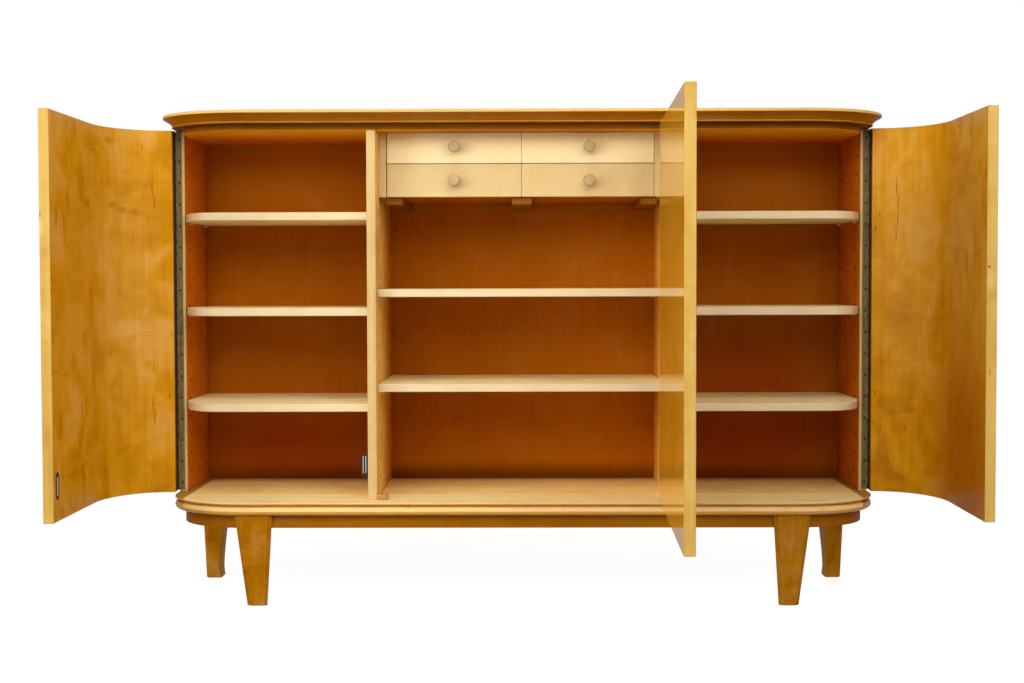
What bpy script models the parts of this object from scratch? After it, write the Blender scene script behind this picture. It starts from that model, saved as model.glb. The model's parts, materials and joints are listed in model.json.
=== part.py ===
"""Sideboard: bowed end doors on piano hinges, a flat middle door, shelves and four small drawers."""
import math

import bmesh
import bpy
from mathutils import Vector

# Frame: metres, X along the front, Y to the back, Z up from the ground.
# Y = 0 is the plane of the dividers' front edges until the root moves the whole piece.
ROOT_SHIFT = (0.0038, 0.1560, 0.0)
GAP = 0.0003
SOFT = 0.0012
CORNER = 0.0020
ARC_STEPS = 22

# Case
SIDE_IN = 0.7843
SIDE_OUT = 0.8036
SIDE_FRONT = 0.1374
BACK_FRONT = 0.3635
BACK_REAR = 0.3715
DIVIDER_IN = 0.3265
DIVIDER_OUT = 0.3468
FLOOR_Z = 0.2413
SUBTOP_LOW = 1.0700
SUBTOP_HIGH = 1.0832
STRIP_BACK = 0.1000
FLOOR_LOW = 0.2235

# Plan of the bowed front corners: where the curve starts on the end and on the front
BOW_END_Y = 0.1218
BOW_FRONT_X = 0.6206

# Top board
TOP_HALF = 0.8260
TOP_FRONT = -0.0500
TOP_REAR = 0.3780
TOP_Z = 1.1104
LIP_LOW = 1.1029
BEAD_LOW = 1.0835
BEAD_HIGH = 1.0870
BEAD_INSET = 0.0205

# Bottom rail: rounded nose, groove, half-round
RAIL_HALF = 0.8060
RAIL_FRONT = -0.0447
RAIL_LOW = 0.2124
TORUS_HIGH = 0.2311
NOSE_LOW = 0.2355
GROOVE_DEPTH = 0.0105
RAIL_JOINT_X = 0.7700

# Apron under the rail
APRON_HALF = 0.7820
APRON_FRONT = -0.0205
APRON_THICK = 0.0200
APRON_LOW = 0.1820
APRON_HIGH = 0.2121
APRON_JOINT_Y = 0.0690

# Legs: broad face outward, tapered, hollowed at the back; the front ones narrow towards the back
LEG_TOP_Z = 0.2121
FRONT_LEG_X = 0.6000
FRONT_LEG_TOP_HALF = 0.0420
FRONT_LEG_FOOT_HALF = 0.0225
FRONT_LEG_TOP_Y = -0.0340
FRONT_LEG_FOOT_Y = 0.0085
REAR_LEG_TOP_X = 0.7895
REAR_LEG_FOOT_X = 0.7835
REAR_LEG_TOP_Y = (0.3025, 0.3715)
REAR_LEG_FOOT_Y = (0.3220, 0.3670)
LEG_WAIST_DEPTH = 0.0365
LEG_WAIST_Z = 0.0200
LEG_SPREAD = 0.0280
LEG_FLARE = 0.0022
LEG_CHAMFER_FOOT = 0.0060
LEG_CHAMFER_TOP = 0.0085
LEG_QUIRK = 0.0012
FRONT_LEG_DRAFT = 0.21
REAR_LEG_DRAFT = 0.0

# Doors
DOOR_LOW = 0.2435
DOOR_HIGH = 1.0815
DOOR_OUT_Y = -0.0252
DOOR_IN_Y = -0.0032
END_DOOR_THICK = 0.0210
PIVOT_X = 0.8060
PIVOT_Y = 0.1360
LEFT_FREE_X = 0.3375
RIGHT_FREE_X = 0.3487
MID_PIVOT = (0.3291, -0.0276)
MID_FREE_X = -0.3335
LEFT_OPEN = math.radians(90.35)
RIGHT_OPEN = math.radians(88.46)
MID_OPEN = math.radians(88.45)
STILE_X = (0.3305, 0.3465)

# Piano hinges
LEAF_THICK = 0.0009
LEAF_CLEAR = 0.0002
LEAF_WIDTH = 0.0155
BARREL_R = 0.0021
HINGE_LOW = 0.2460
HINGE_HIGH = 1.0790

# Shelves
END_SHELF_TOPS = (0.4550, 0.6724, 0.8890)
MID_SHELF_TOPS = (0.4998, 0.7149)
SHELF_THICK = 0.0178
SHELF_FRONT = 0.0357
SHELF_CURVE_END_Y = 0.1460
SHELF_CURVE_KNEE_X = 0.7580
SHELF_CURVE_FRONT_X = 0.6900

# Drawers
DRAWER_FRONT_Y = 0.0686
DRAWER_FRONT_THICK = 0.0180
DRAWER_MIDDLE_EDGE = 0.0008
DRAWER_OUTER_EDGE = {"left": 0.3061, "right": 0.3000}
DRAWER_ROWS = {"upper": (1.0015, 1.0698), "lower": (0.9244, 0.9983)}
TRAY_WALL = 0.0100
TRAY_FLOOR = 0.0050
TRAY_REAR = 0.3480
TRAY_X = (0.0125, 0.2985)
TRAY_Z = {"upper": (1.0018, 1.0600), "lower": (0.9246, 0.9880)}
FILLER_IN = 0.3087
FILLER_LIP = 0.3015
RUNNER_LOW = 0.9080
RUNNER_HIGH = 0.9238
RUNNER_FRONT = 0.0800
RUNNER_IN = 0.2720
LEDGE_Z = (0.9895, 1.0008)
LEDGE_OUT = 0.0240
PARTITION_HALF = 0.0090
KNOB_X = 0.1530
KNOB_Z = {"upper": 1.0370, "lower": 0.9610}
KNOB_R = 0.0133
KNOB_LENGTH = 0.0240
KNOB_SEGMENTS = 24

# Colours, linear
BIRCH = (0.610, 0.285, 0.050)
BIRCH_PALE = (0.780, 0.510, 0.200)
BIRCH_DARK = (0.380, 0.130, 0.022)
STEEL_DARK = (0.075, 0.068, 0.058)
BROWN_CATCH = (0.060, 0.034, 0.024)
KNOB_BROWN = (0.330, 0.150, 0.045)


# Scene and materials
def clear_scene():
    for item in list(bpy.data.objects):
        bpy.data.objects.remove(item, do_unlink=True)


def finish(name, colour, roughness, metallic):
    mat = bpy.data.materials.new(name + "_finish")
    mat.use_nodes = True
    shader = mat.node_tree.nodes["Principled BSDF"]
    shader.inputs["Base Color"].default_value = (*colour, 1.0)
    shader.inputs["Roughness"].default_value = roughness
    shader.inputs["Metallic"].default_value = metallic
    return mat


def empty(name, parent, at=(0.0, 0.0, 0.0), turn=0.0):
    frame = bpy.data.objects.new(name, None)
    bpy.context.scene.collection.objects.link(frame)
    frame.parent = parent
    frame.location = at
    frame.rotation_euler = (0.0, 0.0, turn)
    return frame


def node(name, shape, parent, colour, roughness=0.32, metallic=0.0):
    bmesh.ops.recalc_face_normals(shape, faces=shape.faces)
    if shape.calc_volume(signed=True) < 0.0:
        bmesh.ops.reverse_faces(shape, faces=shape.faces)
    mesh = bpy.data.meshes.new(name)
    shape.to_mesh(mesh)
    shape.free()
    mesh.materials.append(finish(name, colour, roughness, metallic))
    item = bpy.data.objects.new(name, mesh)
    bpy.context.scene.collection.objects.link(item)
    item.parent = parent
    return item


# Outlines
def counter_clockwise(points):
    area = 0.0
    for (x0, y0), (x1, y1) in zip(points, points[1:] + points[:1]):
        area += x0 * y1 - x1 * y0
    return points if area > 0.0 else points[::-1]


def rounded(points, radius, steps=2):
    """Ease each sharp corner of a closed outline with a short curve."""
    points = [Vector(p) for p in counter_clockwise(list(points))]
    out = []
    for i, here in enumerate(points):
        before = here - points[i - 1]
        after = points[(i + 1) % len(points)] - here
        if before.angle(after) < math.radians(30):
            out.append(tuple(here))
            continue
        start = here - before.normalized() * min(radius, before.length * 0.45)
        stop = here + after.normalized() * min(radius, after.length * 0.45)
        for k in range(steps + 1):
            t = k / steps
            spot = start * (1 - t) ** 2 + here * 2 * t * (1 - t) + stop * t ** 2
            out.append(tuple(spot))
    return out


def inset(points, depth):
    """Move a counter-clockwise outline inward by an even depth."""
    out = []
    for i, here in enumerate(points):
        before = (Vector(here) - Vector(points[i - 1])).normalized()
        after = (Vector(points[(i + 1) % len(points)]) - Vector(here)).normalized()
        normal_a = Vector((-before.y, before.x))
        normal_b = Vector((-after.y, after.x))
        middle = (normal_a + normal_b).normalized()
        move = middle * (depth / max(middle.dot(normal_a), 0.3))
        out.append((here[0] + move.x, here[1] + move.y))
    return out


def bow(half, front, back, grow=0.0, end_y=BOW_END_Y, front_x=BOW_FRONT_X):
    """Plan outline from the left rear to the right rear, bowed at both front corners."""
    half = half + grow
    front = front - grow
    across = half - front_x
    along = end_y - front
    left = [(-half, back)]
    for i in range(ARC_STEPS + 1):
        t = i / ARC_STEPS * math.pi / 2
        left.append((-half + across * (1 - math.cos(t)), end_y - along * math.sin(t)))
    return left + [(-x, y) for x, y in left[::-1]]


# Bodies
def loft(rings):
    """Closed body through rings of equal count, capped at both ends."""
    shape = bmesh.new()
    rows = [[shape.verts.new(p) for p in ring] for ring in rings]
    count = len(rows[0])
    for low, high in zip(rows, rows[1:]):
        for i in range(count):
            k = (i + 1) % count
            shape.faces.new((low[i], low[k], high[k], high[i]))
    shape.faces.new(rows[0][::-1])
    shape.faces.new(rows[-1])
    return shape


def place(axis, u, v, w):
    if axis == "x":
        return (w, u, v)
    if axis == "y":
        return (u, w, v)
    return (u, v, w)


def prism(outline, low, high, axis="z", corner=CORNER, soft=SOFT):
    """Sweep an outline along an axis, with eased corners and eased ends."""
    shape = rounded(outline, corner)
    tight = inset(shape, soft)
    levels = ((tight, low), (shape, low + soft), (shape, high - soft), (tight, high))
    return loft([[place(axis, u, v, w) for u, v in ring] for ring, w in levels])


def box(x, y, z, soft=SOFT):
    outline = [(x[0], y[0]), (x[1], y[0]), (x[1], y[1]), (x[0], y[1])]
    return prism(outline, z[0], z[1], corner=soft * CORNER / SOFT, soft=soft)


def cells(xs, ys, zs, solid):
    """Closed body from the filled cells of a small grid."""
    shape = bmesh.new()
    spots = {}

    def corner(i, j, k):
        if (i, j, k) not in spots:
            spots[(i, j, k)] = shape.verts.new((xs[i], ys[j], zs[k]))
        return spots[(i, j, k)]

    sides = (
        ((-1, 0, 0), ((0, 0, 0), (0, 0, 1), (0, 1, 1), (0, 1, 0))),
        ((1, 0, 0), ((1, 0, 0), (1, 1, 0), (1, 1, 1), (1, 0, 1))),
        ((0, -1, 0), ((0, 0, 0), (1, 0, 0), (1, 0, 1), (0, 0, 1))),
        ((0, 1, 0), ((0, 1, 0), (0, 1, 1), (1, 1, 1), (1, 1, 0))),
        ((0, 0, -1), ((0, 0, 0), (0, 1, 0), (1, 1, 0), (1, 0, 0))),
        ((0, 0, 1), ((0, 0, 1), (1, 0, 1), (1, 1, 1), (0, 1, 1))),
    )
    for i, j, k in solid:
        for step, quad in sides:
            if (i + step[0], j + step[1], k + step[2]) in solid:
                continue
            shape.faces.new([corner(i + a, j + b, k + c) for a, b, c in quad])
    bmesh.ops.dissolve_limit(
        shape, angle_limit=0.01, verts=shape.verts, edges=shape.edges)
    return shape


def keep(shape, at, normal):
    """Keep the part of a body behind a plane and close the cut."""
    geometry = list(shape.verts) + list(shape.edges) + list(shape.faces)
    bmesh.ops.bisect_plane(
        shape, geom=geometry, dist=1e-6, plane_co=at, plane_no=normal, clear_outer=True)
    rim = [e for e in shape.edges if len(e.link_faces) == 1]
    bmesh.ops.holes_fill(shape, edges=rim, sides=0)
    return shape


def turned(profile, segments):
    """Body of revolution about Y from (radius, y) pairs, closed on the axis at both ends."""
    shape = bmesh.new()
    rows = []
    for radius, y in profile:
        row = []
        for i in range(segments):
            t = i / segments * math.tau
            row.append(shape.verts.new((radius * math.cos(t), y, radius * math.sin(t))))
        rows.append(row)
    for low, high in zip(rows, rows[1:]):
        for i in range(segments):
            k = (i + 1) % segments
            shape.faces.new((low[i], low[k], high[k], high[i]))
    shape.faces.new(rows[0])
    shape.faces.new(rows[-1])
    return shape


def shift(shape, offset):
    bmesh.ops.translate(shape, verts=shape.verts, vec=offset)
    return shape


# Top board with its undercut lip and bead
def top_board(parent):
    profile = [(-BEAD_INSET - 0.0012, BEAD_LOW)]
    rise = BEAD_HIGH - BEAD_LOW
    for i in range(5):
        t = math.pi * (i / 4 - 0.5)
        grow = -BEAD_INSET - 0.0009 + 0.0018 * math.cos(t)
        profile.append((grow, BEAD_LOW + rise * (0.5 + 0.46 * math.sin(t)) + 0.0001))
    profile.append((-BEAD_INSET - 0.0018, BEAD_HIGH + 0.0003))
    for i in range(6):
        t = i / 5
        grow = -BEAD_INSET - 0.0012 + (BEAD_INSET - 0.0006) * (0.45 * t + 0.55 * t * t)
        profile.append((grow, BEAD_HIGH + 0.0008 + (LIP_LOW - BEAD_HIGH - 0.0012) * t))
    profile.append((-0.0003, LIP_LOW + 0.0010))
    profile.append((0.0, LIP_LOW + 0.0024))
    profile.append((0.0, TOP_Z - 0.0022))
    profile.append((-0.0007, TOP_Z - 0.0007))
    profile.append((-0.0024, TOP_Z))
    rings = []
    for grow, z in profile:
        rings.append([(x, y, z) for x, y in bow(TOP_HALF, TOP_FRONT, TOP_REAR, grow)])
    node("top_board", loft(rings), parent, BIRCH, 0.26)


# Case boards
def case(parent):
    edge = SIDE_IN - 0.0047
    ring = bow(edge, 0.0, SIDE_FRONT + 0.0006)
    inner = SIDE_IN - GAP
    step = SIDE_FRONT + 0.0006
    rear = BACK_FRONT - GAP
    ring = [(-inner, rear), (-inner, step)] + ring + [(inner, step), (inner, rear)]
    subtop = prism(ring, SUBTOP_LOW + GAP, SUBTOP_HIGH, corner=0.0012, soft=0.0005)
    node("carcass_top", subtop, parent, BIRCH_DARK, 0.40)
    for name, sign in (("left", -1), ("right", 1)):
        x = sorted((sign * SIDE_IN, sign * SIDE_OUT))
        board = box(x, (SIDE_FRONT, BACK_REAR), (FLOOR_Z + GAP, SUBTOP_HIGH))
        node("side_" + name, board, parent, BIRCH, 0.30)
        x = sorted((sign * DIVIDER_IN, sign * DIVIDER_OUT))
        board = box(x, (0.0, rear), (FLOOR_Z + GAP, SUBTOP_LOW))
        node("divider_" + name, board, parent, BIRCH_PALE, 0.34)
    back = box((-inner, inner), (BACK_FRONT, BACK_REAR), (FLOOR_Z + GAP, SUBTOP_HIGH))
    node("back_panel", back, parent, BIRCH_DARK, 0.38)
    reach = RAIL_JOINT_X - GAP / 2
    floor = box((-reach, reach), (STRIP_BACK + GAP, rear), (FLOOR_LOW, FLOOR_Z), 0.0004)
    node("floor_panel", floor, parent, BIRCH, 0.32)


# Bottom rail: one moulded slab cut into a front piece and two end pieces
def rail_slab():
    radius = (TORUS_HIGH - RAIL_LOW) / 2
    middle = (TORUS_HIGH + RAIL_LOW) / 2
    profile = []
    for i in range(9):
        t = math.pi * (i / 8 - 0.5)
        profile.append((-radius + radius * math.cos(t), middle + radius * math.sin(t)))
    profile.append((-GROOVE_DEPTH, TORUS_HIGH + 0.0004))
    profile.append((-GROOVE_DEPTH, NOSE_LOW - 0.0004))
    profile.append((-0.0042, NOSE_LOW))
    nose = FLOOR_Z - NOSE_LOW
    for i in range(6):
        t = math.pi * (i / 5 * 0.95 - 0.45)
        grow = -0.0034 + 0.0034 * math.cos(t)
        profile.append((grow, NOSE_LOW + nose * (0.5 + 0.495 * math.sin(t))))
    profile.append((-0.0046, FLOOR_Z))
    rings = []
    for grow, z in profile:
        rings.append([(x, y, z) for x, y in bow(RAIL_HALF, RAIL_FRONT, BACK_REAR, grow)])
    return loft(rings)


def bottom_rail(parent):
    half_gap = GAP / 2
    front = keep(rail_slab(), (RAIL_JOINT_X - half_gap, 0, 0), (1, 0, 0))
    keep(front, (half_gap - RAIL_JOINT_X, 0, 0), (-1, 0, 0))
    keep(front, (0, STRIP_BACK, 0), (0, 1, 0))
    node("bottom_rail_front", front, parent, BIRCH, 0.26)
    for name, sign in (("left", -1), ("right", 1)):
        cut = sign * (RAIL_JOINT_X + half_gap)
        end = keep(rail_slab(), (cut, 0, 0), (-sign, 0, 0))
        node("bottom_rail_" + name, end, parent, BIRCH, 0.26)


# Apron: a bowed strip in a front piece and two end pieces
def clip(path, limit, front):
    """The part of a path in front of, or behind, a plane across Y."""
    out = []
    for here, after in zip(path, path[1:] + path[-1:]):
        if (here[1] < limit) == front:
            out.append(here)
        if (here[1] < limit) != (after[1] < limit):
            t = (limit - here[1]) / (after[1] - here[1])
            out.append((here[0] + (after[0] - here[0]) * t, limit))
    return out


def apron_piece(limit, front, sign):
    outer = bow(APRON_HALF, APRON_FRONT, BACK_REAR)
    inner = bow(APRON_HALF, APRON_FRONT, BACK_REAR, -APRON_THICK)
    if sign:
        outer = [p for p in outer if p[0] * sign > 0]
        inner = [p for p in inner if p[0] * sign > 0]
    outline = clip(outer, limit, front) + clip(inner, limit, front)[::-1]
    return prism(outline, APRON_LOW, APRON_HIGH, corner=0.0010, soft=0.0006)


def apron(parent):
    half_gap = GAP / 2
    node("apron_front", apron_piece(APRON_JOINT_Y - half_gap, True, 0), parent, BIRCH, 0.30)
    for name, sign in (("left", -1), ("right", 1)):
        piece = apron_piece(APRON_JOINT_Y + half_gap, False, sign)
        node("apron_" + name, piece, parent, BIRCH, 0.30)


# Legs
def mix(foot, top, s):
    return foot + (top - foot) * s


def leg_depth(z):
    if z < LEG_WAIST_Z:
        return LEG_WAIST_DEPTH + LEG_FLARE * (1 - z / LEG_WAIST_Z) ** 2
    s = (z - LEG_WAIST_Z) / (LEG_TOP_Z - LEG_WAIST_Z)
    return LEG_WAIST_DEPTH + LEG_SPREAD * s ** 1.35


def leg_section(half, depth, chamfer, draft):
    """Section across a leg, u over the broad face and v into its thickness."""
    deep = chamfer * 0.55
    rear = half - draft * (depth - deep)
    right = [
        (rear - 0.0015, depth),
        (rear, depth - 0.0015),
        (half, deep + LEG_QUIRK),
        (half - 0.0008, deep),
        (half - chamfer + LEG_QUIRK, LEG_QUIRK * 1.6),
        (half - chamfer, LEG_QUIRK),
        (half - chamfer - LEG_QUIRK * 0.4, 0.0),
    ]
    return right + [(-u, v) for u, v in right[::-1]]


def leg_rings(spot, draft):
    """Rings from the sole to the top; spot gives half width, its middle and a placing rule."""
    rings = []
    heights = [0.0, 0.0006, 0.0026]
    heights += [0.0026 + (LEG_TOP_Z - 0.0026) * i / 12 for i in range(1, 13)]
    for z in heights:
        s = z / LEG_TOP_Z
        shrink = 0.0022 if z == 0.0 else (0.0008 if z < 0.001 else 0.0)
        half, put = spot(s)
        chamfer = mix(LEG_CHAMFER_FOOT, LEG_CHAMFER_TOP, s)
        section = leg_section(half, leg_depth(z), chamfer, draft)
        if shrink:
            section = [(u * (1 - shrink / half), shrink + v * (1 - 2 * shrink / leg_depth(z)))
                       for u, v in section]
        rings.append([(*put(u, v), z) for u, v in section])
    return rings


def slot(item, x, y):
    """Open a slot from above for the apron that the leg straddles."""
    cutter_shape = bmesh.new()
    bmesh.ops.create_cube(cutter_shape, size=1.0)
    size = (x[1] - x[0], y[1] - y[0], 0.06)
    middle = ((x[0] + x[1]) / 2, (y[0] + y[1]) / 2, APRON_LOW - GAP + 0.03)
    bmesh.ops.scale(cutter_shape, vec=size, verts=cutter_shape.verts)
    bmesh.ops.translate(cutter_shape, vec=middle, verts=cutter_shape.verts)
    mesh = bpy.data.meshes.new(item.name + "_slot")
    cutter_shape.to_mesh(mesh)
    cutter_shape.free()
    cutter = bpy.data.objects.new(item.name + "_slot", mesh)
    bpy.context.scene.collection.objects.link(cutter)
    cutter.parent = item.parent
    cutter.hide_render = True
    cutter.display_type = "WIRE"
    cut = item.modifiers.new("apron slot", "BOOLEAN")
    cut.operation = "DIFFERENCE"
    cut.solver = "EXACT"
    cut.object = cutter


def legs(parent):
    for name, sign in (("left", -1), ("right", 1)):
        def front(s, sign=sign):
            start = mix(FRONT_LEG_FOOT_Y, FRONT_LEG_TOP_Y, s)
            half = mix(FRONT_LEG_FOOT_HALF, FRONT_LEG_TOP_HALF, s)
            return half, lambda u, v: (sign * FRONT_LEG_X + u, start + v)

        item = node("leg_front_" + name, loft(leg_rings(front, FRONT_LEG_DRAFT)), parent, BIRCH, 0.28)
        x = (sign * FRONT_LEG_X - 0.07, sign * FRONT_LEG_X + 0.07)
        slot(item, x, (APRON_FRONT - GAP, APRON_FRONT + APRON_THICK + 0.0020))

        def rear(s, sign=sign):
            low = mix(REAR_LEG_FOOT_Y[0], REAR_LEG_TOP_Y[0], s)
            high = mix(REAR_LEG_FOOT_Y[1], REAR_LEG_TOP_Y[1], s)
            start = mix(REAR_LEG_FOOT_X, REAR_LEG_TOP_X, s)
            middle = (low + high) / 2
            return (high - low) / 2, lambda u, v: (sign * (start - v), middle + u)

        item = node("leg_rear_" + name, loft(leg_rings(rear, REAR_LEG_DRAFT)), parent, BIRCH, 0.28)
        x = sorted((sign * (APRON_HALF + GAP), sign * (APRON_HALF - APRON_THICK - GAP)))
        slot(item, x, (0.25, 0.45))


# Shelves
def shelves(parent):
    rear = BACK_FRONT - GAP
    outer = SIDE_IN - GAP
    inner = DIVIDER_OUT + GAP
    curve = []
    for i in range(13):
        t = i / 12
        x = outer * (1 - t) ** 2 + SHELF_CURVE_KNEE_X * 2 * t * (1 - t) + SHELF_CURVE_FRONT_X * t * t
        y = SHELF_FRONT + (SHELF_CURVE_END_Y - SHELF_FRONT) * (1 - t) ** 2
        curve.append((x, y))
    outline = [(inner, rear), (outer, rear)] + curve + [(inner, SHELF_FRONT)]
    for name, sign in (("left", -1), ("right", 1)):
        for level, top in zip(("low", "middle", "high"), END_SHELF_TOPS):
            board = prism([(sign * x, y) for x, y in outline], top - SHELF_THICK, top)
            node("shelf_" + name + "_" + level, board, parent, BIRCH_PALE, 0.34)
    reach = DIVIDER_IN - GAP
    for level, top in zip(("low", "high"), MID_SHELF_TOPS):
        board = box((-reach, reach), (SHELF_FRONT, rear), (top - SHELF_THICK, top))
        node("shelf_middle_" + level, board, parent, BIRCH_PALE, 0.34)


# Piano hinge leaves
def barrel_leaf(turn, side):
    """Plan outline of the fixed leaf: barrel on the axis, plate going off at an angle."""
    near = LEAF_CLEAR
    far = LEAF_CLEAR + LEAF_THICK
    first = math.asin(far / BARREL_R)
    last = math.tau + math.asin(near / BARREL_R)
    points = []
    for i in range(13):
        t = first + (last - first) * i / 12
        points.append((BARREL_R * math.cos(t), BARREL_R * math.sin(t)))
    points += [(LEAF_WIDTH, near), (LEAF_WIDTH, far)]
    c = math.cos(turn)
    s = math.sin(turn)
    return [(side * (x * c - y * s), x * s + y * c) for x, y in points]


def hinge(name, fixed_parent, at, moving_parent, fixed_outline, moving_x, moving_y):
    shape = prism(fixed_outline, HINGE_LOW, HINGE_HIGH, corner=0.0003, soft=0.0001)
    shift(shape, (at[0], at[1], 0.0))
    node("hinge_fixed_" + name, shape, fixed_parent, STEEL_DARK, 0.42, 0.85)
    strip = box(moving_x, moving_y, (HINGE_LOW, HINGE_HIGH), 0.0002)
    node("hinge_moving_" + name, strip, moving_parent, STEEL_DARK, 0.42, 0.85)


# Doors
def bowed_door(free_x):
    """Closed plan of an end door from its hinge axis: a inward, b to the front."""
    lap = PIVOT_X - SIDE_OUT
    end = LEAF_CLEAR + LEAF_THICK + GAP
    start = PIVOT_Y - BOW_END_Y
    out_b = PIVOT_Y - DOOR_OUT_Y
    in_b = PIVOT_Y - DOOR_IN_Y
    front_a = PIVOT_X - BOW_FRONT_X
    free_a = PIVOT_X - free_x
    outer = [(lap, end)]
    inner = [(lap + END_DOOR_THICK, end)]
    for i in range(ARC_STEPS + 1):
        t = i / ARC_STEPS * math.pi / 2
        fall = 1 - math.cos(t)
        run = math.sin(t)
        outer.append((lap + (front_a - lap) * fall, start + (out_b - start) * run))
        inside = lap + END_DOOR_THICK
        inner.append((inside + (front_a - inside) * fall, start + (in_b - start) * run))
    return outer + [(free_a, out_b), (free_a, in_b)] + inner[::-1]


def doors(parent):
    moving_a = (BARREL_R + 0.0005, LEAF_WIDTH + 0.0010)
    moving_b = (-LEAF_CLEAR - LEAF_THICK, -LEAF_CLEAR)
    for name, sign, free_x, opened in (
            ("left", -1, LEFT_FREE_X, -LEFT_OPEN), ("right", 1, RIGHT_FREE_X, RIGHT_OPEN)):
        at = (sign * PIVOT_X, PIVOT_Y)
        pivot = empty("pivot_door_" + name, parent, (*at, 0.0), opened)
        outline = [(-sign * a, -b) for a, b in bowed_door(free_x)]
        node("door_" + name, prism(outline, DOOR_LOW, DOOR_HIGH), pivot, BIRCH, 0.24)
        x = sorted((-sign * moving_a[0], -sign * moving_a[1]))
        hinge(name, parent, at, pivot, barrel_leaf(0.0, -sign), x, moving_b)
        if name == "left":
            striker(pivot)
    pivot = empty("pivot_door_middle", parent, (*MID_PIVOT, 0.0), MID_OPEN)
    end = LEAF_CLEAR + LEAF_THICK + GAP
    x = (MID_FREE_X - MID_PIVOT[0], -end)
    y = (DOOR_OUT_Y - MID_PIVOT[1], DOOR_IN_Y - MID_PIVOT[1])
    node("door_middle", box(x, y, (DOOR_LOW, DOOR_HIGH)), pivot, BIRCH, 0.24)
    plate = [(-u, v) for u, v in barrel_leaf(math.pi / 2, 1)]
    hinge("middle", parent, MID_PIVOT, pivot, plate, moving_b, moving_a)
    stile = box(STILE_X, (DOOR_OUT_Y, -GAP), (DOOR_LOW, DOOR_HIGH))
    node("hinge_stile", stile, parent, BIRCH, 0.28)


# Catch, striker and stop
def striker(pivot):
    middle_a = PIVOT_X - LEFT_FREE_X - 0.0240
    half = 0.0090
    low = 0.2895 + half
    high = 0.3455 - half
    outline = []
    for i in range(13):
        t = math.pi * i / 12
        outline.append((middle_a + half * math.cos(t), high + half * math.sin(t)))
    for i in range(13):
        t = math.pi * (1 + i / 12)
        outline.append((middle_a + half * math.cos(t), low + half * math.sin(t)))
    face = DOOR_IN_Y - PIVOT_Y
    plate = prism(outline, face + GAP, face + GAP + 0.0016, axis="y", corner=0.0, soft=0.0003)
    node("striker_plate", plate, pivot, STEEL_DARK, 0.40, 0.85)


def small_fittings(parent):
    outer = -DIVIDER_OUT - GAP
    slope = 0.0045
    face = outer - 0.0155
    outline = [(outer, 0.2885), (outer, 0.3465), (face, 0.3465 - slope), (face, 0.2885 + slope)]
    catch = prism(outline, 0.0040, 0.0260, axis="y", soft=0.0008)
    node("magnetic_catch", catch, parent, BROWN_CATCH, 0.45)
    block = box((-0.3262, -0.3031), (-0.0025, 0.0180), (FLOOR_Z + GAP, 0.2545), 0.0010)
    node("door_stop", block, parent, BIRCH_PALE, 0.45)


# Drawer case: fillers, hanging partition and runners
def drawer_case(parent):
    rear = BACK_FRONT - GAP
    low = DRAWER_ROWS["lower"][0]
    start = DRAWER_FRONT_Y + DRAWER_FRONT_THICK + 0.0040
    high = SUBTOP_LOW
    column = {(0, j, k) for j in (0, 1) for k in (0, 1, 2)}
    for name, sign in (("left", -1), ("right", 1)):
        xs = [sign * (DIVIDER_IN - GAP), sign * FILLER_IN, sign * FILLER_LIP, sign * (FILLER_IN - 0.0200)]
        ys = [DRAWER_FRONT_Y, start, rear]
        zs = [low, LEDGE_Z[0], LEDGE_Z[1], high]
        lip = {(1, 0, 0), (1, 0, 1), (1, 0, 2)} if name == "right" else set()
        filler = cells(xs, ys, zs, column | lip | {(1, 1, 1), (2, 1, 1)})
        node("drawer_filler_" + name, filler, parent, BIRCH_PALE, 0.36)
        xs = [sign * (FILLER_IN - GAP), sign * (FILLER_IN - 0.0080), sign * RUNNER_IN]
        ys = [RUNNER_FRONT, start + GAP, rear]
        zs = [RUNNER_LOW, RUNNER_HIGH, RUNNER_HIGH + 0.0180]
        lower = {(i, j, 0) for i in (0, 1) for j in (0, 1)}
        runner = cells(xs, ys, zs, lower | {(0, 1, 1)})
        node("drawer_runner_" + name, runner, parent, BIRCH_PALE, 0.40)
    xs = [-LEDGE_OUT, -PARTITION_HALF, PARTITION_HALF, LEDGE_OUT]
    ys = [start, rear]
    zs = [RUNNER_HIGH + GAP, LEDGE_Z[0], LEDGE_Z[1], high]
    cross = {(1, 0, 0), (0, 0, 1), (1, 0, 1), (2, 0, 1), (1, 0, 2)}
    node("drawer_partition", cells(xs, ys, zs, cross), parent, BIRCH_PALE, 0.40)
    strip = box((-0.0228, 0.0228), (RUNNER_FRONT, rear), (RUNNER_LOW, RUNNER_HIGH), 0.0006)
    node("drawer_runner_middle", strip, parent, BIRCH_PALE, 0.40)


# Drawers: front, tray and turned knob
def knob():
    r = KNOB_R
    length = KNOB_LENGTH
    profile = [(r * 0.56, 0.0), (r * 0.60, -0.0012), (r * 0.52, -0.0040), (r * 0.50, -0.0075)]
    profile += [(r * 0.58, -0.0105), (r * 0.86, -0.0130), (r * 0.98, -0.0148), (r, -0.0168)]
    profile += [(r * 0.985, -length + 0.0022), (r * 0.95, -length + 0.0008), (r * 0.88, -length)]
    return turned(profile, KNOB_SEGMENTS)


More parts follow.
